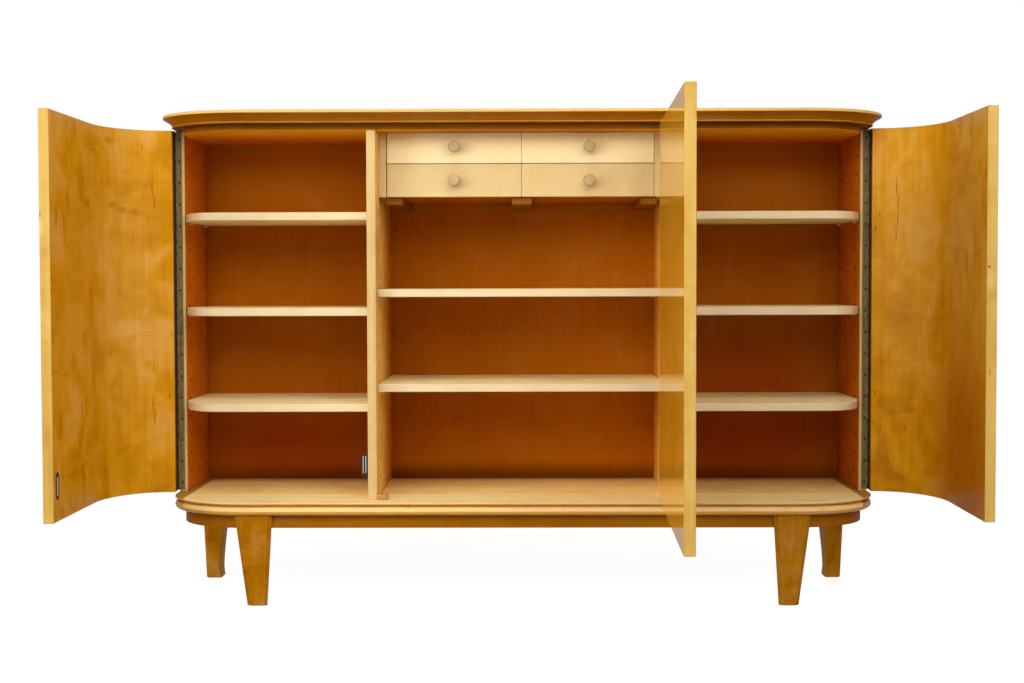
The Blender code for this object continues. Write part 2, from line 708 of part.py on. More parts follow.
def drawers(parent):
    rear_of_front = DRAWER_FRONT_Y + DRAWER_FRONT_THICK
    for side, sign in (("left", -1), ("right", 1)):
        for row, (low, high) in DRAWER_ROWS.items():
            name = row + "_" + side
            slide = empty("slide_drawer_" + name, parent, (sign * KNOB_X, DRAWER_FRONT_Y, KNOB_Z[row]))
            home = (-sign * KNOB_X, -DRAWER_FRONT_Y, -KNOB_Z[row])
            x = sorted((sign * DRAWER_MIDDLE_EDGE, sign * DRAWER_OUTER_EDGE[side]))
            face = box(x, (DRAWER_FRONT_Y, rear_of_front), (low, high), 0.0010)
            node("drawer_front_" + name, shift(face, home), slide, BIRCH_PALE, 0.30)
            x = sorted((sign * TRAY_X[0], sign * TRAY_X[1]))
            xs = [x[0], x[0] + TRAY_WALL, x[1] - TRAY_WALL, x[1]]
            ys = [rear_of_front + GAP, TRAY_REAR - TRAY_WALL, TRAY_REAR]
            zs = [TRAY_Z[row][0], TRAY_Z[row][0] + TRAY_FLOOR, TRAY_Z[row][1]]
            filled = {(i, j, k) for i in range(3) for j in range(2) for k in range(2)}
            filled -= {(1, 0, 1)}
            node("drawer_tray_" + name, shift(cells(xs, ys, zs, filled), home), slide, BIRCH_PALE, 0.45)
            node("drawer_knob_" + name, shift(knob(), (0.0, -GAP, 0.0)), slide, KNOB_BROWN, 0.30)


def main():
    clear_scene()
    root = empty("sideboard", None, ROOT_SHIFT)
    top_board(root)
    case(root)
    bottom_rail(root)
    apron(root)
    legs(root)
    shelves(root)
    doors(root)
    small_fittings(root)
    drawer_case(root)
    drawers(root)


main()
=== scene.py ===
"""Looks for a birch sideboard: veneers, edges, hinges, pins, fittings and a plain stage."""
import json
import math

import bmesh
import bpy
from mathutils import Matrix, Vector

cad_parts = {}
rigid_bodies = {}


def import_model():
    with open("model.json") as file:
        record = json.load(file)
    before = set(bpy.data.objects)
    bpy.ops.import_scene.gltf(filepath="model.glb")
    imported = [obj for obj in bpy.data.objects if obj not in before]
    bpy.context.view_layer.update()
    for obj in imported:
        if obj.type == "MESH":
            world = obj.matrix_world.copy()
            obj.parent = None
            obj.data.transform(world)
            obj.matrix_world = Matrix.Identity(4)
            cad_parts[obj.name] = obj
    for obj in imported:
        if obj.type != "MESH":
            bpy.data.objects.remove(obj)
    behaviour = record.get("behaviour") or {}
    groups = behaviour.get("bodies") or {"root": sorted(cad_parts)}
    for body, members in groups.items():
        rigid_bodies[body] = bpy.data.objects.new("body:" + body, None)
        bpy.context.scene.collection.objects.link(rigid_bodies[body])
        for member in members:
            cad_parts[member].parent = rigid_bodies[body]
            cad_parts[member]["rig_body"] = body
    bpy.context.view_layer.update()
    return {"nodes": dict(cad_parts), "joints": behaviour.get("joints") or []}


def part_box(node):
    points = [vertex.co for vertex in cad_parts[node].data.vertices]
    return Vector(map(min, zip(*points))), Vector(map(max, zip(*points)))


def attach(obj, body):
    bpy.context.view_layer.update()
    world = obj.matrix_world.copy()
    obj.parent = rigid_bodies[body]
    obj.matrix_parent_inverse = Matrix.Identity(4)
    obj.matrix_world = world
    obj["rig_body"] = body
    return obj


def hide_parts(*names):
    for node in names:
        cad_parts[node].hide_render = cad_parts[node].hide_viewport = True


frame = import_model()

bl_info = {
    "name": "Birch sideboard",
    "version": (1, 0, 0),
    "blender": (4, 5, 0),
    "location": "View3D > Sidebar > Sideboard",
    "description": "Dresses the sideboard's boards, doors, hinges and drawers, and sets its stage",
    "category": "Object",
}

X, Y, Z = 0, 1, 2


def to_linear(code):
    """An sRGB hex colour as linear red, green and blue."""
    values = [int(code[i:i + 2], 16) / 255 for i in (0, 2, 4)]
    return tuple(v / 12.92 if v <= 0.04045 else ((v + 0.055) / 1.055) ** 2.4 for v in values)


def colour(name, description, code):
    return bpy.props.FloatVectorProperty(
        name=name, description=description, subtype="COLOR", size=3, min=0.0, max=1.0,
        default=to_linear(code))


def length(name, description, default):
    return bpy.props.FloatProperty(
        name=name, description=description, default=default, min=0.0, unit="LENGTH")


def power(name, description, default):
    return bpy.props.FloatProperty(
        name=name, description=description, default=default, min=0.0, unit="POWER")


# What a user would change
class SideboardColours(bpy.types.PropertyGroup):
    honey: colour("Honey", "Lacquered birch of the end doors' faces", "d4940a")
    amber: colour("Amber", "Lacquered birch of the middle door's faces", "f0b020")
    outer: colour("Outer", "Lacquered birch of the top and of the doors' outer faces", "bc7e14")
    outside: colour("Outside", "Lacquered birch of the case's outer faces, mouldings and legs", "ad6e04")
    gold: colour("Gold edge", "Edge strips of the doors", "c59e4e")
    pale: colour("Pale edge", "Front edges of the shelves", "e3cfa4")
    upright: colour("Upright edge", "Front edges of the dividers and sides", "d0b176")
    # Painted light: one veneer in two colours, the upper fronts paler against the top's shade, the lower
    # darker.
    drawer: colour("Drawer front", "Veneer of the lower drawer fronts", "d6bc84")
    drawer_upper: colour("Upper drawer front", "Veneer of the upper drawer fronts", "f0dca8")
    # Painted shade: runners and partition darkened to the shade they sit in.
    runner: colour("Runner", "Runners and partition of the drawers", "8a5210")
    shelf: colour("Shelf face", "Upper and lower faces of the shelves", "f7e5ae")
    strip: colour("Front strip", "Moulded rail in front of the floor", "fbe6a6")
    # Painted light: the floor's paler front; the painted shade floor colour is its darker back.
    floor: colour("Floor", "Floor of the case", "f7d588")
    inside: colour("Inside", "Boards deep inside the case", "d07210")
    # Painted light: boards inside the case are paler near its front.
    painted_lit_front: colour("Sunned", "Boards inside the case near its front, bleached by daylight", "f4ca74")
    divider: colour("Divider", "Faces of the dividers deep inside the case", "d4861c")
    # Painted shade: the floor's darker back.
    deep_floor: colour("Deep floor", "Floor of the case near its back", "a05a1a")
    # Painted highlight on the top's bead; the same colour is the side rails' top faces' own tone.
    bead: colour("Bead", "Bead under the top", "b48430")
    # Painted highlight along the top's upper rim.
    rim: colour("Rim", "Worn upper rim of the top", "dab060")
    # Painted shade: the inner top's front edge darkened as if under the top's overhang.
    band: colour("Band", "Front edge of the case's inner top", "8c5002")
    # Painted highlight: the upward-facing rounds of the mouldings made paler.
    crest: colour("Crest", "Worn crests of the mouldings", "eeca86")
    # Painted shade: the apron's colour darkened as if under the rail; the top's moulding takes it too.
    apron: colour("Apron", "Apron under the rail", "9c5e03")
    rail: colour("Rail", "Rounds of the bottom rail", "d89838")
    # Painted light: the inner top's under face is paler near the front, turning to the inside colour further
    # in.
    ceiling: colour("Ceiling", "Under face of the case's inner top", "f0ac1c")
    back: colour("Back", "Back panel's inner face", "b46401")
    bare: colour("Bare birch", "Unlacquered birch of the trays and the back", "d8b484")
    stop: colour("Stop", "Door stop block", "b08050")
    # Painted light: the knobs' front faces are paler than their sides.
    knob: colour("Knob", "Turned knobs", "a88c62")
    knob_face: colour("Knob face", "Front faces of the knobs", "b49a70")
    # Rear legs: a paler colour than the front legs.
    rear_leg: colour("Rear leg", "Rear legs, less browned by daylight than the front ones", "c07c06")
    # Painted shade: the back panel redder and darker low down in the end bays.
    painted_shade_red: colour("Ember", "Red brown of the back panel low down in the end bays", "a83206")
    hole: colour("Hole", "Shaded wall of a shelf-pin hole", "3a1604")
    fleck: colour("Fleck", "Bark flecks in the veneer", "74380a")
    steel: colour("Hinge steel", "Darkened steel of the hinges", "7e6e44")
    # Painted shade: the knuckles and moving leaves darker than the fixed leaves of the same steel.
    dark: colour("Dark steel", "Blackened steel of the hinges' knuckles and moving leaves", "443220")
    bright: colour("Bright steel", "Bare steel of pins and catch strips", "c8ccd0")
    plastic: colour("Catch housing", "Brown moulded housing of the catch", "35231b")


class SideboardSizes(bpy.types.PropertyGroup):
    screw_pitch: length("Screw pitch", "Distance between hinge screws", 0.050)
    screw_head: length("Screw head", "Width of a hinge screw's head", 0.0058)
    knuckle: length("Knuckle", "Length of one hinge knuckle", 0.0151455)
    hole_pitch: length("Hole pitch", "Distance between shelf-pin holes", 0.0434)
    hole_width: length("Hole width", "Width of a shelf-pin hole", 0.0080)
    pin_reach: length("Pin reach", "How far a shelf pin stands out of its board", 0.0085)


class SideboardStage(bpy.types.PropertyGroup):
    key_power: power("Key power", "Power of the soft lamp at the upper left", 60.0)
    second_power: power("Second power", "Power of the soft lamp at the upper right", 52.0)
    top_power: power("Top power", "Power of the soft lamp above the front", 38.0)
    left_power: power("Left power", "Power of the soft lamp at the left", 76.0)
    right_power: power("Right power", "Power of the soft lamp at the right", 30.0)
    rear_power: power("Rear power", "Power of the soft lamp behind", 60.0)
    sky_level: bpy.props.FloatProperty(
        name="Sky level", description="Strength of the even light from all around", default=0.08, min=0.0)


# Materials
def add(tree, kind, settings=None, feeds=None):
    """Add one node, set its settings, and fill or link its inputs."""
    node = tree.nodes.new(kind)
    for name, value in (settings or {}).items():
        setattr(node, name, value)
    for name, value in (feeds or {}).items():
        socket = node.inputs[name]
        if isinstance(value, bpy.types.NodeSocket):
            tree.links.new(value, socket)
        else:
            socket.default_value = value
    return node


def blank(name):
    mat = bpy.data.materials.new(name)
    mat.use_nodes = True
    mat.node_tree.nodes.clear()
    return mat, mat.node_tree


# Birch layers: width across the grain and length along it in millimetres, weight, detail, distortion.
# Birch pores are about a tenth of a millimetre wide, so the finest layer is drawn coarser to show.
GRAIN = (
    (3.0, 190.0, 0.50, 3.0, 0.2),
    (16.0, 420.0, 0.50, 3.0, 0.5),
)
# The cloud, the slow drift of tone over a leaf of veneer, and the ripple that lies across the grain
FIGURE = (
    (76.0, 92.0, 1.60, 4.0, 0.7),
    (240.0, 300.0, 0.90, 2.0, 0.4),
    (60.0, 22.0, 0.40, 3.0, 0.8),
)
# Painted light and shade inside the case: a paler colour near the front, as if lit, and the depths in metres
# between which it turns into the deeper colour, as painted shade.
PAINTED_FALLOFF = {
    "floor face": ("floor", 0.44, 0.56),
    "inside divider": ("painted_lit_front", 0.24, 0.50),
    "ceiling": ("ceiling", 0.17, 0.45),
}


def veneer_tone(tree, place, along, seed, figure, lean):
    """Light and dark of birch: grain along one axis and figure across it; gives the sum and the pores."""
    layers = [*GRAIN, *((a, b, weight * figure, d, e) for a, b, weight, d, e in FIGURE if figure > 0.0)]
    tone = 0.5 - sum(layer[2] for layer in layers) / 2
    pores = None
    for k, (across, run, weight, detail, distortion) in enumerate(layers):
        size = [across / 1000] * 3
        size[along] = run / 1000
        spot = add(tree, "ShaderNodeMapping", {"vector_type": "TEXTURE"}, {
            "Vector": place, "Location": (seed * 0.37 + k, seed * 0.51, seed * 0.23 - k),
            "Rotation": (0.0, math.radians(lean), 0.0), "Scale": size})
        noise = add(tree, "ShaderNodeTexNoise", {}, {
            "Vector": spot.outputs["Vector"], "Scale": 1.0, "Detail": detail, "Roughness": 0.55,
            "Distortion": distortion})
        tone = add(tree, "ShaderNodeMath", {"operation": "MULTIPLY_ADD"}, {
            0: noise.outputs["Fac"], 1: weight, 2: tone}).outputs[0]
        pores = pores or noise.outputs["Fac"]
    return tone, pores


def stained(tree, tone, main, contrast):
    """Colour of birch by its tone: the dark of it turns redder, the light of it paler."""
    pale = bpy.context.scene.sideboard_colours.pale
    ramp = add(tree, "ShaderNodeValToRGB", {}, {"Fac": tone})
    stops = ramp.color_ramp.elements
    grey = 0.21 * main[0] + 0.72 * main[1] + 0.07 * main[2]
    lift = contrast * min(1.0, 2.7 * grey)
    deep = [m * (1 - contrast * k) for m, k in zip(main, (0.42, 0.60, 0.86))]
    light = [min(1.0, m + max(lift * k * (p - m), contrast * 0.14 * m))
             for m, p, k in zip(main, pale, (0.42, 0.38, 0.30))]
    stops[0].position, stops[0].color = 0.08, (*deep, 1.0)
    stops[1].position, stops[1].color = 0.92, (*light, 1.0)
    stops.new(0.50).color = (*main, 1.0)
    return ramp.outputs["Color"]


def flecked(tree, place, shade, along, seed, strength):
    """Sparse bark flecks, about 2 mm wide and 30 mm long."""
    size = [0.020] * 3
    size[along] = 0.330
    spot = add(tree, "ShaderNodeMapping", {"vector_type": "TEXTURE"}, {
        "Vector": place, "Location": (seed * 0.19, seed * 0.43, seed * 0.07), "Scale": size})
    cell = add(tree, "ShaderNodeTexVoronoi", {}, {"Vector": spot.outputs["Vector"], "Scale": 1.0})
    mark = add(tree, "ShaderNodeMapRange", {"interpolation_type": "SMOOTHSTEP"}, {
        "Value": cell.outputs["Distance"], "From Min": 0.11, "From Max": 0.03, "To Min": 0.0,
        "To Max": strength})
    dark = bpy.context.scene.sideboard_colours.fleck
    return add(tree, "ShaderNodeMix", {"data_type": "RGBA"}, {
        0: mark.outputs["Result"], 6: shade, 7: (*dark, 1.0)}).outputs[2]


# Kinds of mark, painted light and shade among them: half width and half height in millimetres, strength,
# tint
KINDS = {
    "crack": (1.9, 23.0, 0.72, "fleck"),
    "fleck": (1.9, 8.0, 0.60, "fleck"),
    "streak": (6.0, 30.0, 0.50, "fleck"),
    "chip": (4.0, 2.6, 0.95, "fleck"),
    "shadow": (26.0, 9.0, 0.62, "outside"),
    "stain": (30.0, 26.0, 0.32, "outside"),
    # Painted shade: a broad patch that darkens a door's lower part towards the back panel's colour.
    "shade": (230.0, 300.0, 1.0, "back"),
    # Painted light: a broad, faint paler patch on a door.
    "glow": (130.0, 330.0, 0.06, "pale"),
    # Painted light: a brighter patch high on the back of an end bay.
    "painted_light_upper": (250.0, 90.0, 0.50, "divider"),
    # Painted shade: a redder, darker patch low on the back of an end bay.
    "painted_shade_lower": (270.0, 230.0, 0.55, "painted_shade_red"),
    "ripple": (26.0, 3.0, 0.13, "pale"),
    "flame": (7.0, 22.0, 0.20, "pale"),
    # Painted shade: a dark band on the ceiling over the middle bay.
    "painted_ceiling_shade": (330.0, 26.0, 0.80, "outside"),
    # Painted shade: a dark band along the foot of the back, above the floor.
    "painted_foot_shade": (1300.0, 40.0, 0.70, "hole"),
}


def marked(tree, place, shade, marks, bowed):
    """Single marks: soft ellipses at their places, bent by a slow sway so that none is a clean shape."""
    colours = bpy.context.scene.sideboard_colours
    sway = add(tree, "ShaderNodeTexNoise", {}, {"Vector": place, "Scale": 1000 / 16.0, "Detail": 3.0})
    bend = 0.005
    wavy = add(tree, "ShaderNodeVectorMath", {"operation": "MULTIPLY_ADD"}, {
        0: sway.outputs["Color"], 1: (bend, bend, bend), 2: place}).outputs["Vector"]
    part = add(tree, "ShaderNodeSeparateXYZ", {}, {0: wavy}).outputs
    run = part["X"]
    if bowed:
        reach = add(tree, "ShaderNodeMath", {"operation": "ABSOLUTE"}, {0: part["X"]}).outputs[0]
        run = add(tree, "ShaderNodeMath", {"operation": "SUBTRACT"}, {0: reach, 1: part["Y"]}).outputs[0]
    flat = add(tree, "ShaderNodeCombineXYZ", {}, {"X": run, "Z": part["Z"]}).outputs["Vector"]
    for tint in ("back", "divider", "painted_shade_red", "outside", "pale", "fleck", "hole"):
        most = None
        for kind, across, height in marks:
            wide, tall, strength, own = KINDS[kind]
            if own != tint:
                continue
            near = add(tree, "ShaderNodeMapping", {"vector_type": "TEXTURE"}, {
                "Vector": flat, "Location": (across / 1000, 0.0, height / 1000),
                "Scale": (wide / 1000, 1.0, tall / 1000)})
            far = add(tree, "ShaderNodeVectorMath", {"operation": "LENGTH"}, {0: near.outputs["Vector"]})
            soft = add(tree, "ShaderNodeMapRange", {"interpolation_type": "SMOOTHSTEP"}, {
                "Value": far.outputs["Value"], "From Min": 1.35, "From Max": 0.2, "To Min": 0.0,
                "To Max": strength}).outputs["Result"]
            most = soft if most is None else add(tree, "ShaderNodeMath", {"operation": "MAXIMUM"}, {
                0: most, 1: soft}).outputs[0]
        if most is not None:
            shade = add(tree, "ShaderNodeMix", {"data_type": "RGBA"}, {
                0: most, 6: shade, 7: (*getattr(colours, tint), 1.0)}).outputs[2]
    return shade


def birch(name, main, along, seed, contrast, figure, flecks, roughness, gloss, lean=0.0,
          painted_falloff=None, marks=(), bowed=False):
    """Birch: grain along one axis, figure across it, bark flecks, painted light and shade, own marks."""
    mat, tree = blank(name)
    place = add(tree, "ShaderNodeTexCoord").outputs["Object"]
    tone, pores = veneer_tone(tree, place, along, seed, figure, lean)
    shade = stained(tree, tone, main, contrast)
    # Painted light and shade: paler near the case's front, turning darker further in.
    if painted_falloff:
        painted_lit_front, near, far = painted_falloff
        depth = add(tree, "ShaderNodeSeparateXYZ", {}, {0: place})
        into_shade = add(tree, "ShaderNodeMapRange", {"interpolation_type": "SMOOTHSTEP"}, {
            "Value": depth.outputs["Y"], "From Min": near, "From Max": far, "To Min": 0.0, "To Max": 1.0})
        front = stained(tree, tone, getattr(bpy.context.scene.sideboard_colours, painted_lit_front), contrast)
        shade = add(tree, "ShaderNodeMix", {"data_type": "RGBA"}, {
            0: into_shade.outputs["Result"], 6: front, 7: shade}).outputs[2]
    if flecks > 0.0:
        shade = flecked(tree, place, shade, along, seed, flecks)
    if marks:
        shade = marked(tree, place, shade, marks, bowed)
    polish = add(tree, "ShaderNodeMapRange", {}, {
        "Value": tone, "From Min": 0.2, "From Max": 0.8, "To Min": roughness + 0.04,
        "To Max": roughness - 0.04})
    bump = add(tree, "ShaderNodeBump", {}, {"Strength": 0.08, "Distance": 0.0003, "Height": pores})
    skin = add(tree, "ShaderNodeBsdfPrincipled", {}, {
        "Base Color": shade, "Roughness": polish.outputs["Result"], "IOR": 1.5, "Specular IOR Level": gloss,
        "Normal": bump.outputs["Normal"]})
    add(tree, "ShaderNodeOutputMaterial", {}, {"Surface": skin.outputs["BSDF"]})
    return mat


def metal(name, tone, roughness, streak, metallic):
    """Steel with fine drawn streaks along the height and a cloudy tarnish."""
    mat, tree = blank(name)
    place = add(tree, "ShaderNodeTexCoord").outputs["Object"]
    # Drawing lines are far under a pixel, so they are drawn 1.2 mm wide to show.
    lines = add(tree, "ShaderNodeMapping", {}, {
        "Vector": place, "Scale": (1000 / 1.2, 1000 / 1.2, 1000 / 60.0)})
    drawn = add(tree, "ShaderNodeTexNoise", {}, {
        "Vector": lines.outputs["Vector"], "Scale": 1.0, "Detail": 2.0})
    cloud = add(tree, "ShaderNodeTexNoise", {}, {"Vector": place, "Scale": 1000 / 9.0, "Detail": 4.0})
    both = add(tree, "ShaderNodeMath", {"operation": "MULTIPLY_ADD"}, {
        0: cloud.outputs["Fac"], 1: 0.5, 2: drawn.outputs["Fac"]})
    ramp = add(tree, "ShaderNodeValToRGB", {}, {"Fac": both.outputs[0]})
    stops = ramp.color_ramp.elements
    stops[0].position, stops[0].color = 0.45, (*[c * (1 - streak) for c in tone], 1.0)
    stops[1].position, stops[1].color = 1.05, (*[min(1.0, c * (1 + streak)) for c in tone], 1.0)
    polish = add(tree, "ShaderNodeMapRange", {}, {
        "Value": both.outputs[0], "From Min": 0.4, "From Max": 1.1, "To Min": roughness + 0.08,
        "To Max": roughness - 0.06})
    skin = add(tree, "ShaderNodeBsdfPrincipled", {}, {
        "Base Color": ramp.outputs["Color"], "Metallic": metallic, "Roughness": polish.outputs["Result"]})
    add(tree, "ShaderNodeOutputMaterial", {}, {"Surface": skin.outputs["BSDF"]})
    return mat


# Each birch finish: name, colour, grain axis, seed, contrast, figure, flecks, roughness, gloss
# and, in degrees, the grain's lean
BIRCHES = {
    # Birch veneer, sliced and clear lacquered: cloudy honey with cross ripple, mirror-like at a flat angle
    "door veneer left": ("birch_veneer_lacquered_left", "honey", Z, 1.3, 0.62, 1.0, 0.3, 0.26, 0.12),
    "door veneer right": ("birch_veneer_lacquered_right", "honey", Z, 2.9, 0.62, 1.0, 0.3, 0.26, 0.12),
    "door veneer middle": ("birch_veneer_lacquered_middle", "amber", Z, 4.1, 0.95, 0.45, 0.3, 0.10, 0.5),
    "door veneer outer": ("birch_veneer_lacquered_outer", "outer", Z, 4.7, 0.55, 0.6, 0.3, 0.26, 0.12),
    "outside": ("birch_veneer_outside", "outside", Z, 13.6, 0.6, 0.9, 0.4, 0.30, 0.15),
    "top face": ("birch_veneer_top", "outer", X, 13.2, 0.5, 0.6, 0.4, 0.30, 0.12),
    # Solid birch, shaped and lacquered: honey, glossy on its rounds
    # The top's moulding and the apron take the apron colour, darkened as painted shade.
    "moulding long": ("birch_moulding_long", "apron", X, 11.5, 0.6, 0.5, 0.0, 0.24, 0.08),
    "apron long": ("birch_apron_long", "apron", X, 11.1, 0.5, 0.5, 0.0, 0.34, 0.05),
    "apron deep": ("birch_apron_deep", "apron", Y, 12.4, 0.5, 0.5, 0.0, 0.34, 0.05),
    "rail long": ("birch_rail_long", "rail", X, 11.9, 0.6, 0.4, 0.0, 0.18, 0.5),
    "rail deep": ("birch_rail_deep", "rail", Y, 12.9, 0.6, 0.4, 0.0, 0.18, 0.5),
    "rim long": ("birch_rim_long", "rim", X, 11.8, 0.4, 0.4, 0.0, 0.20, 0.3),
    "band long": ("birch_band_long", "band", X, 11.2, 0.5, 0.5, 0.0, 0.34, 0.05),
    "bead long": ("birch_bead_long", "bead", X, 11.6, 0.4, 0.4, 0.0, 0.20, 0.3),
    "crest long": ("birch_crest_long", "crest", X, 11.7, 0.4, 0.4, 0.0, 0.16, 0.5),
    "crest deep": ("birch_crest_deep", "rail", Y, 12.2, 0.4, 0.4, 0.0, 0.16, 0.5),
    "strip long": ("birch_strip_long", "strip", X, 11.3, 0.6, 0.4, 0.0, 0.40, 0.04),
    "strip deep": ("birch_strip_deep", "bead", Y, 12.7, 0.6, 0.4, 0.0, 0.40, 0.04),
    "leg front": ("birch_solid_leg_front", "outside", Z, 14.8, 0.8, 0.7, 0.0, 0.34, 0.04),
    "leg rear": ("birch_solid_leg_rear", "rear_leg", Z, 14.3, 0.8, 0.7, 0.0, 0.34, 0.04),
    # Birch edge strips, planed and lacquered: straight grain in even light lines
    "door edge": ("birch_edge_door", "gold", Z, 5.7, 0.6, 0.6, 0.0, 0.34, 0.15),
    "upright edge": ("birch_edge_upright", "upright", Z, 5.9, 0.6, 0.4, 0.0, 0.36, 0.15),
    "long edge": ("birch_edge_long", "pale", X, 6.1, 0.4, 0.4, 0.0, 0.36, 0.15),
    # Birch boards, sanded and thinly lacquered: long even grain, satin
    "shelf face": ("birch_board_shelf", "shelf", X, 7.4, 0.5, 0.5, 0.0, 0.46, 0.03),
    "floor face": ("birch_board_floor", "deep_floor", X, 7.9, 0.6, 0.5, 0.0, 0.46, 0.03),
    "inside side": ("birch_veneer_inside_side", "inside", Z, 3.3, 0.5, 0.7, 0.2, 0.46, 0.03),
    "inside divider": ("birch_veneer_inside_divider", "divider", Z, 3.6, 0.5, 0.7, 0.2, 0.46, 0.03),
    "ceiling": ("birch_veneer_ceiling", "inside", X, 3.9, 0.5, 0.5, 0.0, 0.46, 0.03),
    "back": ("birch_ply_back", "back", Z, 10.2, 0.30, 0.6, 0.3, 0.44, 0.04),
    # Birch veneer, sliced across a wavy log and thinly lacquered: soft leaning flames, pale
    # The upper fronts' paler colour is painted light.
    "drawer upper left": (
        "birch_veneer_drawer_upper_left", "drawer_upper", Z, 8.2, 0.20, 0.8, 0.0, 0.34, 0.15, 24.0),
    "drawer upper right": (
        "birch_veneer_drawer_upper_right", "drawer_upper", Z, 8.8, 0.20, 0.8, 0.0, 0.34, 0.15, 12.0),
    "drawer lower left": (
        "birch_veneer_drawer_lower_left", "drawer", Z, 8.2, 0.20, 0.8, 0.0, 0.34, 0.15, 24.0),
    "drawer lower right": (
        "birch_veneer_drawer_lower_right", "drawer", Z, 8.8, 0.20, 0.8, 0.0, 0.34, 0.15, 12.0),
    # Birch, planed: dull brown, darkened as painted shade
    "runner": ("birch_planed_runner", "runner", Y, 9.9, 0.5, 0.2, 0.0, 0.60, 0.05),
    # Birch, planed and left bare: matt and pale
    "bare": ("birch_planed_bare", "bare", Y, 9.3, 0.6, 0.2, 0.0, 0.62, 0.20),
    "stop": ("birch_planed_stop", "stop", Y, 9.6, 0.8, 0.3, 0.0, 0.62, 0.10),
    # Birch, drilled and unlit: the dark of a shelf-pin hole
    "hole": ("birch_drilled_hole", "hole", X, 16.2, 0.3, 0.0, 0.0, 0.70, 0.05),
    # Turned hardwood, stained and waxed: grey brown with a dull shine
    "knob": ("hardwood_turned_knob", "knob", Y, 15.1, 0.9, 0.5, 0.0, 0.40, 0.25),
    "knob face": ("hardwood_turned_knob_face", "knob_face", Y, 15.7, 0.9, 0.5, 0.0, 0.40, 0.15),
}

# Marks in single veneers, painted light and shade among them: kind, place across and height in millimetres.
# On a bowed door the place across is the distance from the case's middle less the depth, which runs on
# round the bow.
BOWED = ("door veneer left", "door veneer right")
MARKS = {
    "door veneer left": (
        # Painted light on the left door.
        ("glow", 680, 720),
        ("fleck", 610, 1045), ("shadow", 735, 1055), ("crack", 580, 950), ("crack", 575, 920),
        ("shadow", 720, 910), ("shadow", 685, 900), ("shadow", 635, 895), ("shadow", 870, 905),
        ("fleck", 595, 880), ("fleck", 565, 840), ("streak", 1000, 905), ("streak", 1075, 870),
        ("ripple", 660, 660), ("ripple", 615, 665), ("ripple", 650, 620), ("ripple", 605, 625),
        ("stain", 790, 540), ("streak", 920, 460), ("crack", 585, 450), ("crack", 580, 420),
        ("fleck", 540, 470), ("streak", 915, 330),
    ),
    "door veneer right": (
        # Painted shade low on the right door and painted light higher up.
        ("shade", 965, 330), ("glow", 940, 960), ("glow", 640, 800),
        ("crack", 605, 950), ("crack", 610, 915), ("crack", 610, 875), ("crack", 605, 840),
        ("fleck", 560, 885), ("fleck", 550, 855), ("streak", 930, 935), ("streak", 965, 770),
        ("stain", 885, 790), ("flame", 725, 665), ("flame", 705, 630), ("flame", 685, 595),
        ("ripple", 725, 625), ("ripple", 640, 530), ("ripple", 640, 425),
        ("shadow", 595, 430), ("shadow", 650, 440), ("fleck", 705, 435), ("fleck", 550, 475),
        ("fleck", 565, 395), ("fleck", 635, 395), ("streak", 1050, 430), ("streak", 985, 405),
        ("fleck", 585, 315),
    ),
    "door edge": (
        ("fleck", 947, 550), ("chip", 944, 762), ("flame", 947, 735),
        ("fleck", -961, 872), ("flame", -961, 846),
    ),
    # Painted shade on the ceiling over the middle bay.
    "ceiling": (("painted_ceiling_shade", 4, 1070),),
    "back": (
        # Painted light high in the end bays, painted shade low in them and along the foot of the back.
        ("painted_light_upper", -560, 1010), ("painted_light_upper", 560, 1010), ("painted_shade_lower", 560, 380), ("painted_shade_lower", -560, 260),
        ("painted_foot_shade", 0, 242),
        ("fleck", -305, 862), ("fleck", -303, 840), ("fleck", -269, 852), ("fleck", -58, 899),
        ("stain", -58, 850), ("stain", 110, 800),
    ),
}

# Each metal or plastic finish: name, colour, roughness, streak, metallic
DRAWN = {
    # Steel strip, rolled and dulled with age: olive grey with drawn streaks
    "hinge steel": ("steel_rolled_aged", "steel", 0.46, 0.50, 0.35),
    # Steel strip, rolled: nearly black, soft sheen; this darkness is painted shade
    "shaded steel": ("steel_rolled_blackened", "dark", 0.50, 0.40, 0.25),
    # Steel, turned and dulled: only a little darker than the leaf under it
    "screw steel": ("steel_turned_dull", "dark", 0.75, 0.30, 0.0),
    # Steel, sheared and bare: bright, faintly streaked
    "bright steel": ("steel_sheared_bright", "bright", 0.36, 0.18, 0.3),
    # Plastic, moulded: dark brown with a soft satin bloom
    "catch housing": ("plastic_moulded_brown", "plastic", 0.46, 0.25, 0.0),
}
FINISHES = {}


def finish(key):
    """The finish of that name, made the first time it is asked for."""
    if key not in FINISHES:
        colours = bpy.context.scene.sideboard_colours
        if key in BIRCHES:
            name, tone, *rest = BIRCHES[key]
            FINISHES[key] = birch(
                name, tuple(getattr(colours, tone)), *rest, painted_falloff=PAINTED_FALLOFF.get(key),
                marks=MARKS.get(key, ()), bowed=key in BOWED)
        else:
            name, tone, *rest = DRAWN[key]
            FINISHES[key] = metal(name, tuple(getattr(colours, tone)), *rest)
    return FINISHES[key]


# Pieces
def placed(name, data):
    item = bpy.data.objects.new(name, data)
    bpy.context.scene.collection.objects.link(item)
    return item


def piece(name, mesh, body, slot, *stands_for):
    """Stand a finished mesh as a piece of a body, in place of the CAD nodes that it stands for."""
    item = placed(name, mesh)
    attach(item, body)
    if stands_for:
        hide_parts(*stands_for)


def plain(name, shape):
    """The shape as a mesh of that name."""
    mesh = bpy.data.meshes.new(name)
    shape.to_mesh(mesh)
    shape.free()
    return mesh


def settled(item):
    """The object's mesh with its modifiers worked in, as a plain mesh."""
    bpy.context.view_layer.update()
    graph = bpy.context.evaluated_depsgraph_get()
    mesh = bpy.data.meshes.new_from_object(item.evaluated_get(graph), depsgraph=graph)
    item.modifiers.clear()
    return mesh


